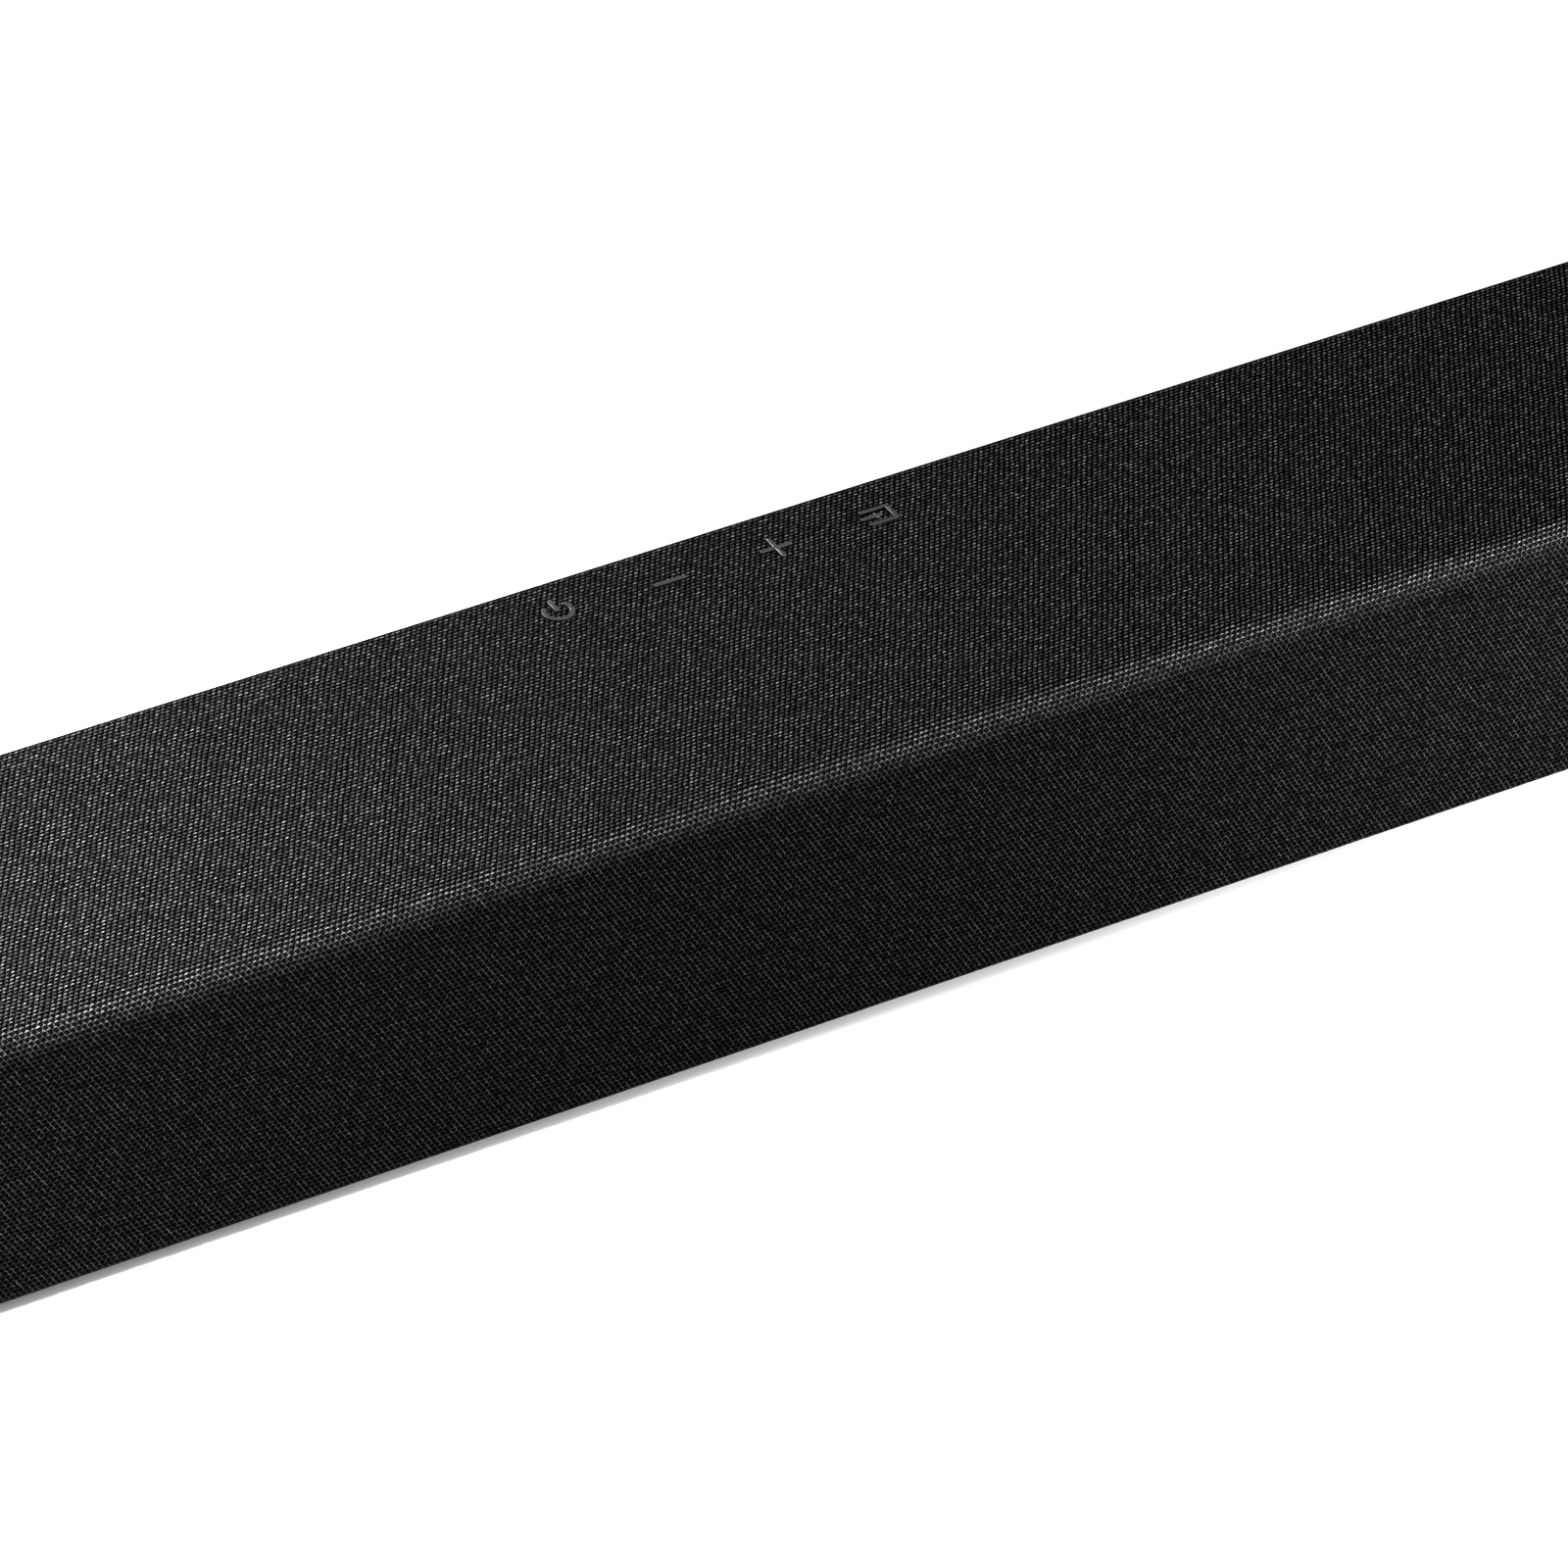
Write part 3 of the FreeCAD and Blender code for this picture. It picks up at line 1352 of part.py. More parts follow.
def set_driver(body, centre):
    return place(body, centre, BAFFLE_FRONT, "driver_height")


def make_magnet(name, centre):
    """Top plate, magnet ring, back plate and pole piece, glued up as one motor."""
    top = f"({MOTOR_FRONT} + top_plate)"
    bottom = f"({top} + magnet_height)"
    body = turned(name, [
        ("0", MOTOR_FRONT),
        ("pole_radius", MOTOR_FRONT),
        ("pole_radius", bottom),
        ("magnet_bore", bottom),
        ("magnet_bore", top),
        ("motor_bore", top),
        ("motor_bore", MOTOR_FRONT),
        ("motor_radius", MOTOR_FRONT),
        ("motor_radius", f"{bottom} + back_plate"),
        ("0", f"{bottom} + back_plate"),
    ])
    node(set_driver(body, centre))


def make_cone(name, centre):
    """Cone, dust cap and voice coil, which move together."""
    crown = "(cone_depth - dome_height)"
    shoulder = f"({crown} + dome_height / 4)"
    body = turned(name, [
        ("0", f"{crown} - paper_wall"),
        ("cone_neck / 2", f"{shoulder} - paper_wall"),
        ("cone_neck", "cone_depth - 2 * paper_wall"),
        ("cone_radius", "0 - cone_front"),
        ("cone_radius", "paper_wall - cone_front"),
        ("cone_neck + paper_wall / 2", "cone_depth"),
        ("coil_outer", "cone_depth"),
        ("coil_outer", "coil_end"),
        ("coil_inner", "coil_end"),
        ("coil_inner", "cone_depth - paper_wall"),
        ("cone_neck / 2", shoulder),
        ("0", crown),
    ])
    node(set_driver(body, centre))


def make_surround(name, centre):
    """The half roll of rubber between the cone's edge and the frame."""
    inner = "(cone_radius + glue_gap)"
    outer = "(cage_radius - cage_wall)"
    middle = f"(({inner} + {outer}) / 2)"
    seat = "(0 - cone_front)"
    under = f"({seat} + roll_wall)"
    body = turned(name, [
        (inner, seat),
        (f"{middle} - roll_radius", seat, None, (middle, f"{seat} - roll_radius")),
        (f"{middle} + roll_radius", seat),
        (outer, seat),
        (outer, under),
        (f"{middle} + roll_radius - roll_wall", under, None,
         (middle, f"{under} - roll_radius + roll_wall")),
        (f"{middle} - roll_radius + roll_wall", under),
        (inner, under),
    ])
    node(set_driver(body, centre))


def make_spider(name, centre):
    """The pleated ring that centres the voice coil."""
    inner = "(coil_outer + glue_gap)"
    pleats = 4
    ridge = [
        (
            f"{inner} + {step / (2 * pleats)} * (spider_outer - {inner})",
            f"cage_depth - spider_wall - {step % 2} * spider_rise",
        )
        for step in range(2 * pleats + 1)
    ]
    valley = [(radius, f"{depth} + spider_wall") for radius, depth in reversed(ridge)]
    body = turned(name, ridge + valley)
    node(set_driver(body, centre))


# ---- the whole bar ----

def make_everything():
    make_fabric()
    make_grille_shell()
    make_rear_housing()
    make_housing_screws()
    make_mount_inserts()
    make_jack_panel()
    for mark in KEYS:
        make_key(mark)
    make_key_carrier()
    make_key_board()
    make_tact_switches()
    make_main_board()
    make_heat_sink()
    make_board_parts()
    make_sockets()
    make_indicator_board()
    make_inner_screws()
    make_ribbon_cable()
    for word, side in SIDES.items():
        make_end_cap(f"end_cap_{word}", side)
        make_foot(f"foot_{word}", side)
        make_enclosure(f"enclosure_{word}", side)
        make_baffle(f"baffle_{word}", side)
        make_port_tube(f"port_tube_{word}", side)
        make_speaker_leads(f"speaker_leads_{word}", side)
    for word, centre in DRIVERS.items():
        make_basket(f"basket_{word}", centre)
        make_magnet(f"magnet_{word}", centre)
        make_cone(f"cone_{word}", centre)
        make_surround(f"surround_{word}", centre)
        make_spider(f"spider_{word}", centre)


def check_everything():
    """Stop if any object failed, any shape is bad, or any pocket cut nothing."""
    for item in doc.Objects:
        if {"Invalid", "Error"} & set(item.State):
            raise RuntimeError(f"{item.Label} is {item.State}")
        if item.TypeId == "PartDesign::Pocket":
            before = item.BaseFeature.Shape.Volume
            if item.Shape.Volume > before - CLOSE:
                raise RuntimeError(f"{item.Label} cuts nothing")
    for item in nodes:
        if item.Shape.isNull() or not item.Shape.isValid():
            raise RuntimeError(f"{item.Label} has no valid shape")


make_everything()
doc.recompute()
check_everything()
os.makedirs("parts", exist_ok=True)
for item in nodes:
    item.Shape.exportStep(f"parts/{item.Label}.step")
    print(f"{item.Label}: {len(item.Shape.Solids)} solid(s), {item.Shape.Volume:.1f} mm3")
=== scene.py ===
import json
import math

import bmesh
import bpy
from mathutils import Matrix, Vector


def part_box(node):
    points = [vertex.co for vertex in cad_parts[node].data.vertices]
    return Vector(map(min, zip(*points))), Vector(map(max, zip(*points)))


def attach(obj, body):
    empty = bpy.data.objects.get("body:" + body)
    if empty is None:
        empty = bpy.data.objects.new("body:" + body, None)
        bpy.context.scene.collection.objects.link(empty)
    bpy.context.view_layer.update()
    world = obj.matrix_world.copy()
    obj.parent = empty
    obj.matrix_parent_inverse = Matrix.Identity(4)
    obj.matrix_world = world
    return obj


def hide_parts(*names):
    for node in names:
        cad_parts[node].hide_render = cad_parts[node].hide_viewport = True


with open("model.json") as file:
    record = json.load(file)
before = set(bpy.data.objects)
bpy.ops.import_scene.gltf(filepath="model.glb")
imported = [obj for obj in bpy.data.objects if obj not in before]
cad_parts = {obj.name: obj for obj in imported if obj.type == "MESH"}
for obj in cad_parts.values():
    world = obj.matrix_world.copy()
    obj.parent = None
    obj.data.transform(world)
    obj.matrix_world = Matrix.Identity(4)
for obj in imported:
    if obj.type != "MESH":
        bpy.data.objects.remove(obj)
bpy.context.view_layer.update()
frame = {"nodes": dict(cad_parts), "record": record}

MM = 0.001
# Points that are closer than this are one point.
SAME_PLACE = 0.001 * MM
NODES = frame["nodes"]
KEYS = ("power", "minus", "plus", "source")

# ---- the camera ----

VIEW_AZIMUTH = math.radians(-29.73)
VIEW_ELEVATION = math.radians(35.11)
VIEW_DISTANCE = 1.5307
VIEW_LENS = 214.6
SENSOR_WIDTH = 36
# The camera looks just over the front-top ridge, a little left of the bar's middle.
VIEW_OFFSET = Vector((-23.4, 0.35, 0.58)) * MM


def make_camera():
    low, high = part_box("fabric_wrap")
    target = Vector(((low.x + high.x) / 2, low.y, high.z)) + VIEW_OFFSET
    level = math.cos(VIEW_ELEVATION)
    back = Vector((
        math.sin(VIEW_AZIMUTH) * level,
        -math.cos(VIEW_AZIMUTH) * level,
        math.sin(VIEW_ELEVATION),
    ))
    data = bpy.data.cameras.new("camera")
    data.lens = VIEW_LENS
    data.sensor_width = SENSOR_WIDTH
    data.clip_start = 0.05
    data.clip_end = 50
    camera = bpy.data.objects.new("camera", data)
    camera.location = target + back * VIEW_DISTANCE
    camera.rotation_mode = "QUATERNION"
    camera.rotation_quaternion = (-back).to_track_quat("-Z", "Y")
    bpy.context.scene.collection.objects.link(camera)
    bpy.context.scene.camera = camera


# ---- node materials ----

class Graph:
    """A material's node tree, with short calls for the nodes that every material uses."""

    def __init__(self, name):
        self.material = bpy.data.materials.new(name)
        self.material.use_nodes = True
        self.tree = self.material.node_tree
        self.tree.nodes.clear()
        self.shader = self.tree.nodes.new("ShaderNodeBsdfPrincipled")
        output = self.tree.nodes.new("ShaderNodeOutputMaterial")
        self.link(self.shader.outputs["BSDF"], output.inputs["Surface"])

    def link(self, source, socket):
        self.tree.links.new(source, socket)

    def feed(self, socket, value):
        """Link value to a socket if it is an output, otherwise set it there."""
        if isinstance(value, bpy.types.NodeSocket):
            self.link(value, socket)
        else:
            socket.default_value = value

    def math(self, operation, first, second=0.0, third=0.0):
        item = self.tree.nodes.new("ShaderNodeMath")
        item.operation = operation
        for socket, value in zip(item.inputs, (first, second, third)):
            self.feed(socket, value)
        return item.outputs[0]

    def ramp(self, value, low, high, to_low=0.0, to_high=1.0, smooth=True):
        """value between low and high, mapped to to_low and to_high."""
        item = self.tree.nodes.new("ShaderNodeMapRange")
        item.interpolation_type = "SMOOTHSTEP" if smooth else "LINEAR"
        for name, part in (
            ("Value", value), ("From Min", low), ("From Max", high),
            ("To Min", to_low), ("To Max", to_high),
        ):
            self.feed(item.inputs[name], part)
        return item.outputs["Result"]

    def colours(self, factor, stops):
        """A colour for each factor; stops are (position, (r, g, b))."""
        item = self.tree.nodes.new("ShaderNodeValToRGB")
        ramp = item.color_ramp
        while len(ramp.elements) < len(stops):
            ramp.elements.new(0.5)
        for element, (position, colour) in zip(ramp.elements, stops):
            element.position = position
            element.color = (*colour, 1)
        self.feed(item.inputs["Fac"], factor)
        return item.outputs["Color"]

    def vector(self, x, y, z=0.0):
        item = self.tree.nodes.new("ShaderNodeCombineXYZ")
        for socket, value in zip(item.inputs, (x, y, z)):
            self.feed(socket, value)
        return item.outputs[0]

    def place(self, scale=(1, 1, 1)):
        """The point on the object, in its own frame, stretched by scale."""
        point = self.tree.nodes.new("ShaderNodeTexCoord").outputs["Object"]
        item = self.tree.nodes.new("ShaderNodeVectorMath")
        item.operation = "MULTIPLY"
        self.link(point, item.inputs[0])
        item.inputs[1].default_value = scale
        return item.outputs[0]

    def noise(self, point, scale, detail=2.0, roughness=0.5):
        item = self.tree.nodes.new("ShaderNodeTexNoise")
        self.link(point, item.inputs["Vector"])
        item.inputs["Scale"].default_value = scale
        item.inputs["Detail"].default_value = detail
        item.inputs["Roughness"].default_value = roughness
        return item.outputs["Fac"]

    def cells(self, point, scale):
        item = self.tree.nodes.new("ShaderNodeTexVoronoi")
        self.link(point, item.inputs["Vector"])
        item.inputs["Scale"].default_value = scale
        return item.outputs["Distance"]

    def chances(self, point):
        """Three random numbers from 0 to 1 for a point."""
        item = self.tree.nodes.new("ShaderNodeTexWhiteNoise")
        self.link(point, item.inputs["Vector"])
        split = self.tree.nodes.new("ShaderNodeSeparateXYZ")
        self.link(item.outputs["Color"], split.inputs[0])
        return split.outputs[0], split.outputs[1], split.outputs[2]

    def total(self, *shares):
        """The sum of values, each times its share."""
        result = 0.0
        for value, share in shares:
            result = self.math("MULTIPLY_ADD", value, share, result)
        return result

    def length(self, x, y):
        squares = self.math("ADD", self.math("MULTIPLY", x, x), self.math("MULTIPLY", y, y))
        return self.math("SQRT", squares)

    def fade(self, share, start, end):
        """start where share is 0 and end where it is 1, evenly between."""
        return self.ramp(share, 0, 1, start, end, smooth=False)

    def bump(self, height, distance):
        item = self.tree.nodes.new("ShaderNodeBump")
        item.inputs["Distance"].default_value = distance
        item.inputs["Strength"].default_value = 1.0
        self.link(height, item.inputs["Height"])
        return item.outputs["Normal"]

    def set(self, **values):
        """Feed the shader's sockets, named with _ for a space."""
        for name, value in values.items():
            self.feed(self.shader.inputs[name.replace("_", " ")], value)
        return self.material


# ---- the weave ----

# The knit repeats every PITCH along the bar and every ROW across it, with every other row half a
# pitch along. UV coordinates of the skin are millimetres on the flat cloth, v running forward.
PITCH = 1.044
ROW = 0.857
HOLE_RADIUS = 0.37
LOOP_BACK = 0.43
LOOP_HALF_WIDTH = 0.4
LOOP_HALF_HEIGHT = 0.13
LOOP_TILT = math.radians(15)
# How far a loop may stray from its place, along the bar and across it.
STRAY_ALONG = 0.1
STRAY_ACROSS = 0.05
BUMP = 0.3 * MM
# Where the look changes, in millimetres of cloth past the start of the round over the front ridge.
FRONT_FROM, FRONT_TO = 3, 7
RIDGE_FROM, RIDGE_TO = 0.8, 3.4
RIDGE_FADES = 3.8
# Where the ridge's own shine is gone, in millimetres past the end of that round.
RIDGE_GONE = 0.3
# How high each part of the knit stands, in shares of BUMP, and how light it is coloured; the loops' and
# the threads' shares are painted highlight.
NET_RISE, LOOP_RISE, THREAD_RISE, FIBRE_RISE, GAP_RISE = 0.45, 0.5, 0.3, 0.12, -0.3
YARN_LIGHT, LOOP_PAINTED_HIGHLIGHT, THREAD_PAINTED_HIGHLIGHT, BACKING_LIGHT = 0.24, 0.8, 0.44, 0.13
# The skin's section: its rounds, and how far it is turned in down the back and under the bar.
RIDGE_RADIUS = 5 * MM
EDGE_RADIUS = 2.5 * MM
# Lengths along the cloth, in metres. They count from the level of the skin's underside, up the back
# and over the top: the back, the top, where the round over the front ridge begins, and that round.
SKIN_LOW, SKIN_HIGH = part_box("fabric_wrap")
BACK_RUN = SKIN_HIGH.z - EDGE_RADIUS - SKIN_LOW.z
TOP_RUN = SKIN_HIGH.y - SKIN_LOW.y - EDGE_RADIUS - RIDGE_RADIUS
RIDGE_START = BACK_RUN + EDGE_RADIUS * math.pi / 2 + TOP_RUN
RIDGE_ARC = RIDGE_RADIUS * math.pi / 2


def from_middle(graph, count, size):
    """How far a point is from the middle of its cell, where count is its place in cells that size."""
    return graph.math("MULTIPLY", graph.math("SUBTRACT", graph.math("FRACT", count), 0.5), size)


def knit_sites(graph, u, v):
    """The knit's two interleaved grids: each point's offset from its hole, and that hole's chance.

    Offsets are millimetres along u and v; the chance is three random numbers for each hole.
    """
    grids = []
    for offset in (0.0, 0.5):
        column = graph.math("ADD", graph.math("DIVIDE", u, PITCH), offset)
        row = graph.math("ADD", graph.math("DIVIDE", v, 2 * ROW), offset)
        along = from_middle(graph, column, PITCH)
        across = from_middle(graph, row, 2 * ROW)
        site = graph.vector(graph.math("FLOOR", column), graph.math("FLOOR", row), 10 * offset)
        grids.append((along, across, graph.chances(site)))
    return grids


def hole_distance(graph, grids):
    """How far the nearest hole's middle is, in millimetres."""
    first, second = [graph.length(along, across) for along, across, _ in grids]
    return graph.math("MINIMUM", first, second)


def loop_distance(graph, grids):
    """The nearest loop, behind each hole: (its distance in half sizes, its random number)."""
    found = []
    for along, across, (chance, slip, lag) in grids:
        side = graph.math("ADD", along, graph.fade(slip, -STRAY_ALONG, STRAY_ALONG))
        back = graph.fade(lag, LOOP_BACK - STRAY_ACROSS, LOOP_BACK + STRAY_ACROSS)
        ahead = graph.math("ADD", across, back)
        turned_side = graph.total((side, math.cos(LOOP_TILT)), (ahead, -math.sin(LOOP_TILT)))
        turned_ahead = graph.total((side, math.sin(LOOP_TILT)), (ahead, math.cos(LOOP_TILT)))
        far = graph.length(
            graph.math("DIVIDE", turned_side, LOOP_HALF_WIDTH),
            graph.math("DIVIDE", turned_ahead, LOOP_HALF_HEIGHT),
        )
        found.append((far, chance))
    (first, first_chance), (second, second_chance) = found
    closer = graph.math("LESS_THAN", second, first)
    return graph.math("MINIMUM", first, second), graph.fade(closer, first_chance, second_chance)


def diagonal(graph, u, v, way, aside=0.0):
    """1 on the lines that run diagonally between the holes, way 1 or -1, and 0 on the holes.

    aside moves the lines along u, in half pitches.
    """
    phase = graph.total((u, 2 * math.pi / PITCH), (v, -way * math.pi / ROW))
    phase = graph.math("SUBTRACT", phase, aside * math.pi)
    return graph.math("MULTIPLY_ADD", graph.math("COSINE", phase), -0.5, 0.5)


def weave_material():
    graph = Graph("woven_fabric")
    uv = graph.tree.nodes.new("ShaderNodeUVMap")
    uv.uv_map = "cloth"
    split = graph.tree.nodes.new("ShaderNodeSeparateXYZ")
    graph.link(uv.outputs["UV"], split.inputs[0])
    flat = graph.vector(split.outputs["X"], split.outputs["Y"])
    # Threads wander a little, so that no two rows are quite alike.
    wander = graph.total(
        (graph.noise(flat, 0.11, detail=1), 0.5), (graph.noise(flat, 1.1, detail=1), 0.3),
    )
    u = graph.math("ADD", split.outputs["X"], wander)
    v = graph.math("ADD", split.outputs["Y"], graph.math("MULTIPLY", wander, 0.6))
    grids = knit_sites(graph, u, v)
    hole = hole_distance(graph, grids)
    loop, chance = loop_distance(graph, grids)
    # The net of yarn round the holes, the loops' rounded tops, and the backing that shows through
    # the middle of a hole.
    # Away from the net the holes stay near-black, painted shade in the holes, except for the backing in
    # their middle.
    net = graph.ramp(hole, HOLE_RADIUS - 0.11, HOLE_RADIUS + 0.12)
    crown = graph.ramp(loop, 1.3, 0.5)
    backing = graph.ramp(hole, 0.17, 0.04)
    # Single fibres, patches of darker and lighter yarn, and breaks along the slanting threads.
    fibre = graph.ramp(graph.noise(flat, 5.0, detail=2), 0.3, 0.7)
    patch = graph.ramp(graph.noise(flat, 0.8, detail=2), 0.3, 0.7, 0.75, 1.25)
    stretched = graph.vector(u, graph.math("MULTIPLY", v, 0.6), 7.0)
    broken = graph.ramp(graph.noise(stretched, 2.2, detail=1), 0.4, 0.6)
    slanting = graph.math("POWER", diagonal(graph, u, v, 1), 5.0)
    gaps = graph.math("POWER", diagonal(graph, u, v, -1, aside=-0.5), 3.0)
    # Over the top the loops stand up in columns with grooves between them; over the ridge and down the
    # front the slanting threads show most, and over the ridge the yarn gets a stronger coat. The ridge
    # is also painted lighter and the front darker: painted highlight and painted shade.
    ridge_start = RIDGE_START / MM
    ridge_end = (RIDGE_START + RIDGE_ARC) / MM
    run = split.outputs["Y"]
    front = graph.ramp(run, ridge_start + FRONT_FROM, ridge_start + FRONT_TO)
    ridge = graph.math(
        "MULTIPLY",
        graph.ramp(run, ridge_start + RIDGE_FROM, ridge_start + RIDGE_TO),
        graph.ramp(run, ridge_end + RIDGE_GONE, ridge_start + RIDGE_FADES),
    )
    loops_show = graph.math("MULTIPLY", crown, graph.fade(front, 1.0, 0.22))
    threads_share = graph.math("MAXIMUM", graph.fade(front, 0.08, 1.0), ridge)
    threads_show = graph.math("MULTIPLY", slanting, threads_share)
    gaps_show = graph.math("MULTIPLY", gaps, graph.fade(front, 0.9, 0.2))
    height = graph.total(
        (net, NET_RISE),
        (loops_show, LOOP_RISE),
        (threads_show, THREAD_RISE),
        (fibre, FIBRE_RISE),
        (gaps_show, GAP_RISE),
    )
    lively = graph.math("POWER", chance, 1.5)
    # Painted highlight: the loop tops are coloured lighter, as if glinting in the light from above,
    # some loops more than others.
    loop_painted_highlight = graph.math("MULTIPLY", loops_show, graph.fade(lively, 0.42, 1.05))
    # Painted highlight: the slanting threads of one way only are coloured lighter, as if lit from the
    # right, with breaks along them.
    thread_painted_highlight = graph.math("MULTIPLY", threads_show, graph.fade(broken, 0.15, 1.0))
    thread_painted_highlight = graph.math("MULTIPLY", thread_painted_highlight, graph.fade(fibre, 0.5, 1.1))
    # The yarn in its own tone, with painted shade in the grooves between the loop columns.
    yarn = graph.math("MULTIPLY", net, graph.fade(fibre, 0.3, 1.0))
    yarn = graph.math("MULTIPLY", yarn, graph.math("SUBTRACT", 1.0, gaps_show))
    # Painted highlight over the ridge, up to a tenth lighter, and painted shade down the front, up to
    # 15 percent darker.
    share = graph.math("MULTIPLY", patch, graph.fade(ridge, 1.0, 1.1))
    share = graph.math("MULTIPLY", share, graph.fade(front, 1.0, 0.85))
    tone = graph.math("MULTIPLY", share, graph.total(
        (yarn, YARN_LIGHT),
        (loop_painted_highlight, LOOP_PAINTED_HIGHLIGHT),
        (graph.math("MULTIPLY", thread_painted_highlight, net), THREAD_PAINTED_HIGHLIGHT),
        (backing, BACKING_LIGHT),
    ))
    colour = graph.colours(tone, [
        (0.0, (0.0001, 0.0001, 0.0001)),
        (0.1, (0.0005, 0.0005, 0.0006)),
        (0.25, (0.0055, 0.0057, 0.006)),
        (0.6, (0.034, 0.035, 0.037)),
        (1.0, (0.14, 0.143, 0.15)),
    ])
    shape = graph.bump(height, BUMP)
    return graph.set(
        Base_Color=colour,
        Roughness=0.85,
        Specular_IOR_Level=0.0,
        Normal=shape,
        Coat_Weight=graph.math("MULTIPLY", tone, graph.fade(ridge, 0.33, 1.2)),
        Coat_Roughness=0.42,
        Coat_Normal=shape,
    )


# ---- the fabric skin ----

# Edges of the skin that turn by more than this stay sharp, as round the slits and along the hems.
SKIN_CREASE = math.radians(35)


def cloth_run(point):
    """How far along the flat cloth a point of the wrapped skin lies, in metres."""
    low, high = SKIN_LOW, SKIN_HIGH
    if point.y > high.y - EDGE_RADIUS and point.z > high.z - EDGE_RADIUS:
        angle = math.atan2(point.z - (high.z - EDGE_RADIUS), point.y - (high.y - EDGE_RADIUS))
        return BACK_RUN + EDGE_RADIUS * angle
    if point.y < low.y + RIDGE_RADIUS and point.z > high.z - RIDGE_RADIUS:
        angle = math.atan2(low.y + RIDGE_RADIUS - point.y, point.z - (high.z - RIDGE_RADIUS))
        return RIDGE_START + RIDGE_RADIUS * angle
    front_start = RIDGE_START + RIDGE_ARC
    front_end = front_start + (high.z - RIDGE_RADIUS) - (low.z + EDGE_RADIUS)
    if point.y < low.y + EDGE_RADIUS and point.z < low.z + EDGE_RADIUS:
        angle = math.atan2(low.z + EDGE_RADIUS - point.z, low.y + EDGE_RADIUS - point.y)
        return front_end + EDGE_RADIUS * angle
    runs = {
        high.y - point.y: point.z - low.z,
        high.z - point.z: RIDGE_START - (point.y - low.y - RIDGE_RADIUS),
        point.y - low.y: front_start + (high.z - RIDGE_RADIUS - point.z),
        point.z - low.z: front_end + EDGE_RADIUS * math.pi / 2 + (point.y - low.y - EDGE_RADIUS),
    }
    return runs[min(runs)]


def make_fabric():
    """The skin as one closed piece of cloth, with its flat coordinates in its UV map."""
    mesh = NODES["fabric_wrap"].data.copy()
    mesh.name = "fabric_skin"
    skin = bpy.data.objects.new("fabric_skin", mesh)
    bpy.context.scene.collection.objects.link(skin)
    build = bmesh.new()
    build.from_mesh(mesh)
    bmesh.ops.remove_doubles(build, verts=build.verts, dist=SAME_PLACE)
    for name in list(build.loops.layers.uv.keys()):
        build.loops.layers.uv.remove(build.loops.layers.uv[name])
    layer = build.loops.layers.uv.new("cloth")
    for face in build.faces:
        for loop in face.loops:
            point = loop.vert.co
            loop[layer].uv = (point.x / MM, cloth_run(point) / MM)
    build.to_mesh(mesh)
    build.free()
    mesh.shade_smooth()
    mesh.set_sharp_from_angle(angle=SKIN_CREASE)
    mesh.materials.clear()
    mesh.materials.append(weave_material())
    even = skin.modifiers.new("even_normals", "WEIGHTED_NORMAL")
    even.keep_sharp = True
    even.weight = 100
    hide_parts("fabric_wrap")
    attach(skin, "casing")


# ---- materials of the carried-over nodes ----

def shades(colour, darker, lighter=0.0):
    """Two neighbours of a colour: one that much darker and one that much lighter."""
    return [tuple(channel * share for channel in colour) for share in (1 - darker, 1 + lighter)]


def moulded(name, colour, grain=0.35, roughness=0.5, depth=0.03, shine=0.45):
    """Moulded plastic with a fine spark-eroded grain; its pitch and depth are millimetres."""
    graph = Graph(name)
    point = graph.place()
    per_metre = 1 / (grain * MM)
    pits = graph.cells(point, per_metre)
    haze = graph.noise(point, per_metre * 2.2, detail=3)
    cloud = graph.noise(point, 14, detail=3)
    height = graph.total((pits, 1.0), (haze, 0.6))
    tone = graph.total((cloud, 0.6), (haze, 0.4))
    dark, light = shades(colour, 0.18, 0.18)
    return graph.set(
        Base_Color=graph.colours(tone, [(0.25, dark), (0.75, light)]),
        Roughness=graph.ramp(tone, 0.2, 0.8, roughness - 0.07, roughness + 0.09),
        Specular_IOR_Level=shine,
        Normal=graph.bump(height, depth * MM),
    )


def key_plastic(name):
    """The keys' plastic: satin on top, polished by fingers along the edges and matt on the walls; the
    edges are also coloured lighter, a painted highlight.
    """
    graph = Graph(name)
    split = graph.tree.nodes.new("ShaderNodeSeparateXYZ")
    graph.link(graph.tree.nodes.new("ShaderNodeTexCoord").outputs["Normal"], split.inputs[0])
    upright = split.outputs["Z"]
    haze = graph.noise(graph.place(), 9000, detail=3)
    flat = graph.ramp(upright, 0.6, 0.9)
    edge = graph.math("MULTIPLY", graph.ramp(upright, 0.4, 0.7), graph.ramp(upright, 0.995, 0.94))
    # Painted highlight: the rounded edges are coloured several times lighter than the top and the
    # walls.
    tone = graph.total((edge, 0.7), (haze, 0.3))
    return graph.set(
        Base_Color=graph.colours(tone, [
            (0.1, (0.004, 0.004, 0.0043)),
            (0.35, (0.008, 0.0081, 0.0086)),
            (0.9, (0.05, 0.051, 0.054)),
        ]),
        Roughness=graph.ramp(edge, 0, 1, 0.5, 0.34),
        Specular_IOR_Level=0.08,
        Coat_Weight=graph.total((flat, 0.2), (edge, 0.6)),
        Coat_Roughness=0.3,
        Normal=graph.bump(haze, 0.003 * MM),
    )


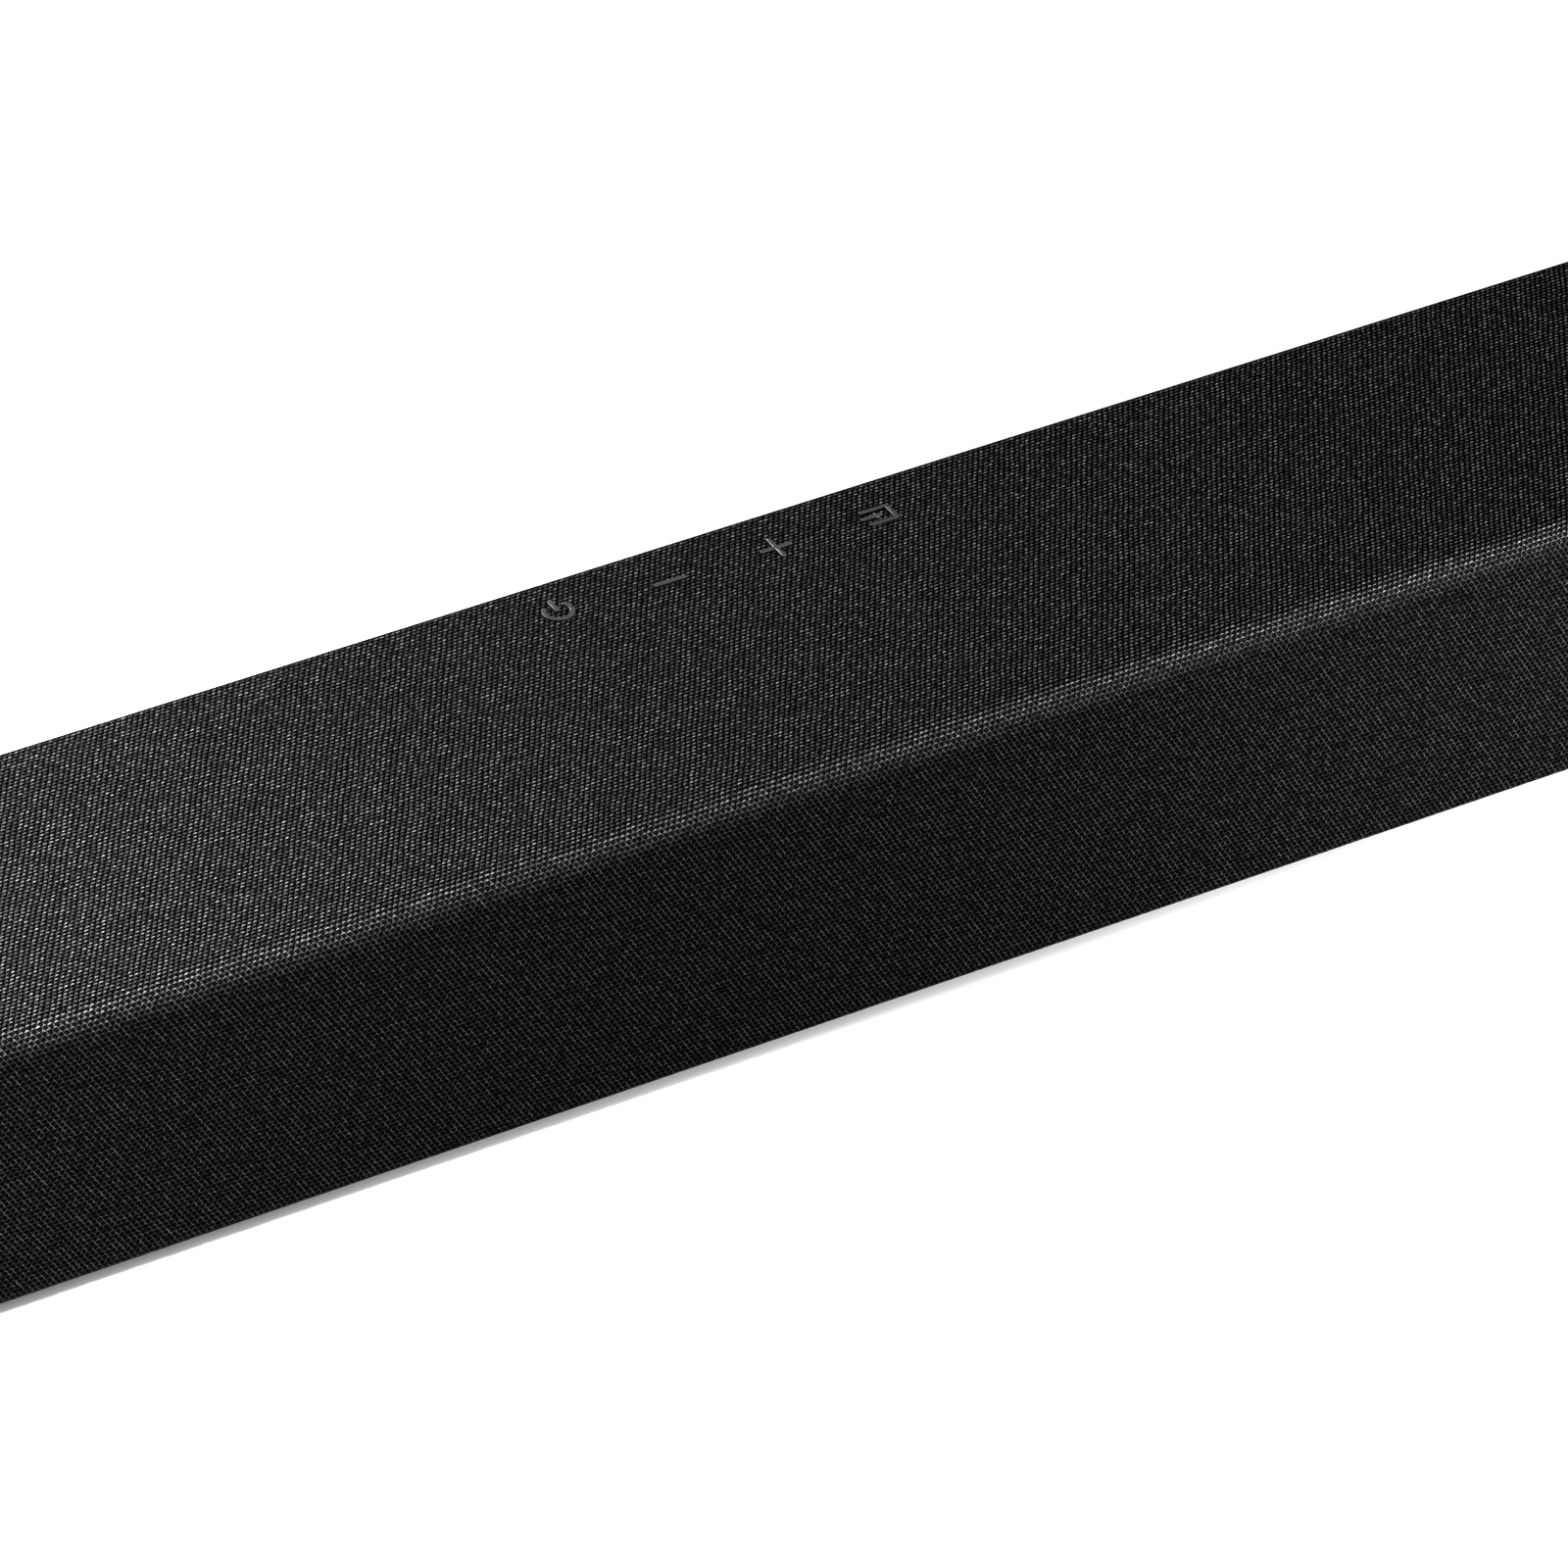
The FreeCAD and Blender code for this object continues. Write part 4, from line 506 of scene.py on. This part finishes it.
def metal(name, colour, roughness=0.35):
    """Metal with fine drawing lines along the bar."""
    graph = Graph(name)
    lines = graph.noise(graph.place(scale=(1, 14, 14)), 260, detail=4, roughness=0.65)
    blotch = graph.noise(graph.place(), 70, detail=3)
    dark, plain = shades(colour, 0.2)
    return graph.set(
        Base_Color=graph.colours(blotch, [(0.3, dark), (0.7, plain)]),
        Metallic=1.0,
        Roughness=graph.ramp(lines, 0.3, 0.7, roughness - 0.1, roughness + 0.12),
        Normal=graph.bump(lines, 0.01 * MM),
    )


def circuit_board(name):
    """Green solder mask, darker and lighter over the copper runs under it."""
    graph = Graph(name)
    brick = graph.tree.nodes.new("ShaderNodeTexBrick")
    graph.link(graph.place(), brick.inputs["Vector"])
    brick.inputs["Scale"].default_value = 300
    brick.inputs["Mortar Size"].default_value = 0.09
    brick.inputs["Brick Width"].default_value = 1.7
    runs = brick.outputs["Fac"]
    cloud = graph.noise(graph.place(), 60, detail=3)
    tone = graph.total((runs, 0.5), (cloud, 0.4))
    return graph.set(
        Base_Color=graph.colours(tone, [(0.1, (0.006, 0.09, 0.035)), (0.8, (0.02, 0.22, 0.1))]),
        Roughness=0.28,
        Normal=graph.bump(runs, 0.03 * MM),
    )


def soft(name, colour, pitch, roughness, depth):
    """Paper, rubber or treated cloth with fibres; their pitch and depth are millimetres."""
    graph = Graph(name)
    fibres = graph.noise(graph.place(), 1 / (pitch * MM), detail=5, roughness=0.7)
    cloud = graph.noise(graph.place(), 45, detail=2)
    tone = graph.total((fibres, 0.6), (cloud, 0.4))
    dark, light = shades(colour, 0.3, 0.3)
    return graph.set(
        Base_Color=graph.colours(tone, [(0.3, dark), (0.7, light)]),
        Roughness=graph.ramp(tone, 0.2, 0.8, roughness - 0.08, roughness + 0.08),
        Normal=graph.bump(fibres, depth * MM),
    )


# Each material slot of the record, except the fabric's: the function that makes it and its settings.
FINISHES = {
    "shell_plastic": (moulded, dict(colour=(0.008, 0.008, 0.0085), shine=0.35)),
    "housing_plastic": (moulded, dict(colour=(0.006, 0.006, 0.0065), shine=0.2)),
    "cap_plastic": (moulded, dict(colour=(0.006, 0.006, 0.0065), roughness=0.48, shine=0.2)),
    "panel_plastic": (moulded, dict(colour=(0.0055, 0.0055, 0.006), roughness=0.4, shine=0.35)),
    "socket_plastic": (moulded, dict(colour=(0.02, 0.02, 0.021), grain=0.2, roughness=0.38)),
    "enclosure_plastic": (moulded, dict(colour=(0.035, 0.035, 0.038))),
    "component_black": (moulded, dict(colour=(0.025, 0.025, 0.026), grain=0.15)),
    "ribbon_plastic": (moulded, dict(colour=(0.7, 0.7, 0.68), grain=0.6, roughness=0.3)),
    "lead_insulation": (moulded, dict(colour=(0.4, 0.025, 0.025), grain=0.5, roughness=0.35)),
    "capacitor_sleeve": (moulded, dict(colour=(0.02, 0.03, 0.08), grain=1.5, roughness=0.25)),
    "key_plastic": (key_plastic, {}),
    "foot_rubber": (soft, dict(colour=(0.014, 0.014, 0.014), pitch=0.4, roughness=0.8, depth=0.03)),
    "surround_rubber": (soft, dict(colour=(0.015, 0.015, 0.015), pitch=0.6, roughness=0.6, depth=0.02)),
    "cone_paper": (soft, dict(colour=(0.03, 0.03, 0.03), pitch=0.5, roughness=0.85, depth=0.05)),
    "spider_cloth": (soft, dict(colour=(0.45, 0.3, 0.12), pitch=0.3, roughness=0.8, depth=0.05)),
    "screw_steel": (metal, dict(colour=(0.06, 0.06, 0.065), roughness=0.4)),
    "brass_insert": (metal, dict(colour=(0.72, 0.52, 0.22), roughness=0.3)),
    "shield_steel": (metal, dict(colour=(0.6, 0.6, 0.6))),
    "heat_sink_aluminium": (metal, dict(colour=(0.66, 0.67, 0.69))),
    "socket_metal": (metal, dict(colour=(0.66, 0.65, 0.62), roughness=0.28)),
    "basket_steel": (metal, dict(colour=(0.04, 0.04, 0.042), roughness=0.5)),
    "motor_steel": (metal, dict(colour=(0.5, 0.5, 0.52))),
    "circuit_board": (circuit_board, {}),
}
# How wide the rounding of sharp edges is, and the turn from which an edge counts as sharp.
KEY_EDGE = 0.17 * MM
HOUSING_EDGE = 0.25 * MM
SHARP = math.radians(50)
# Faces that turn by less than this are one flat face.
FLAT = math.radians(1)


def dress_nodes():
    """Give every CAD node that is shown its finish, and ease the sharp edges that can be seen."""
    materials = {slot: make(slot, **look) for slot, (make, look) in FINISHES.items()}
    for part in frame["record"]["subparts"]:
        if part["node"] == "fabric_wrap":
            continue
        mesh = NODES[part["node"]].data
        mesh.materials.clear()
        mesh.materials.append(materials[part["material_slot"]])
    for mark in KEYS:
        ease(f"key_{mark}", KEY_EDGE)
    for name in ("rear_housing", "jack_panel"):
        ease(name, HOUSING_EDGE)


def ease(name, width):
    """Join a node's split corners and round its sharp edges, with modifiers only."""
    node = NODES[name]
    weld = node.modifiers.new("weld", "WELD")
    weld.merge_threshold = SAME_PLACE
    flats = node.modifiers.new("flats", "DECIMATE")
    flats.decimate_type = "DISSOLVE"
    flats.angle_limit = FLAT
    bevel = node.modifiers.new("bevel", "BEVEL")
    bevel.width = width
    bevel.segments = 3
    bevel.limit_method = "ANGLE"
    bevel.angle_limit = SHARP
    bevel.harden_normals = True


# ---- floor and light ----

# Half the side of the floor, in metres: wide enough that no view shows its edge near the bar.
FLOOR_HALF = 30


def make_stage():
    mesh = bpy.data.meshes.new("floor")
    corners = [(x * FLOOR_HALF, y * FLOOR_HALF, 0) for x, y in ((-1, -1), (1, -1), (1, 1), (-1, 1))]
    mesh.from_pydata(corners, [], [(0, 1, 2, 3)])
    floor = bpy.data.objects.new("floor", mesh)
    bpy.context.scene.collection.objects.link(floor)
    graph = Graph("floor")
    mesh.materials.append(graph.set(Base_Color=(0.9, 0.9, 0.9, 1), Roughness=0.9))


# Each lamp: its place, what it points at, its size in metres, its power in watts and the angle that
# the light spreads over, in degrees.
LAMPS = {
    "right": ((2.3, -0.2, 1.2), (0, 0, 0), (1.2, 1.2), 50, 180),
    "behind_left": ((-0.35, 0.8, 0.5), (-0.3, 0, 0.05), (0.4, 0.4), 9, 40),
    "over_left": ((-0.08, -0.18, 0.5), (-0.2, -0.03, 0.05), (0.15, 0.15), 0.5, 34),
    "low_right": ((0.25, -0.25, 0.06), (0.14, -0.03, 0.03), (0.15, 0.08), 0.9, 90),
}
WORLD_STRENGTH = 1.25


def make_light():
    for name, (place, aim, size, watts, spread) in LAMPS.items():
        data = bpy.data.lights.new(name, "AREA")
        data.shape = "RECTANGLE"
        data.size, data.size_y = size
        data.energy = watts
        data.spread = math.radians(spread)
        lamp = bpy.data.objects.new(name, data)
        lamp.location = place
        lamp.rotation_mode = "QUATERNION"
        lamp.rotation_quaternion = (Vector(aim) - Vector(place)).to_track_quat("-Z", "Y")
        lamp.visible_camera = False
        bpy.context.scene.collection.objects.link(lamp)
    world = bpy.data.worlds.new("studio")
    world.use_nodes = True
    background = world.node_tree.nodes["Background"]
    background.inputs["Color"].default_value = (1, 1, 1, 1)
    background.inputs["Strength"].default_value = WORLD_STRENGTH
    bpy.context.scene.world = world
    bpy.context.scene.view_settings.view_transform = "Standard"


make_camera()
make_fabric()
dress_nodes()
make_stage()
make_light()
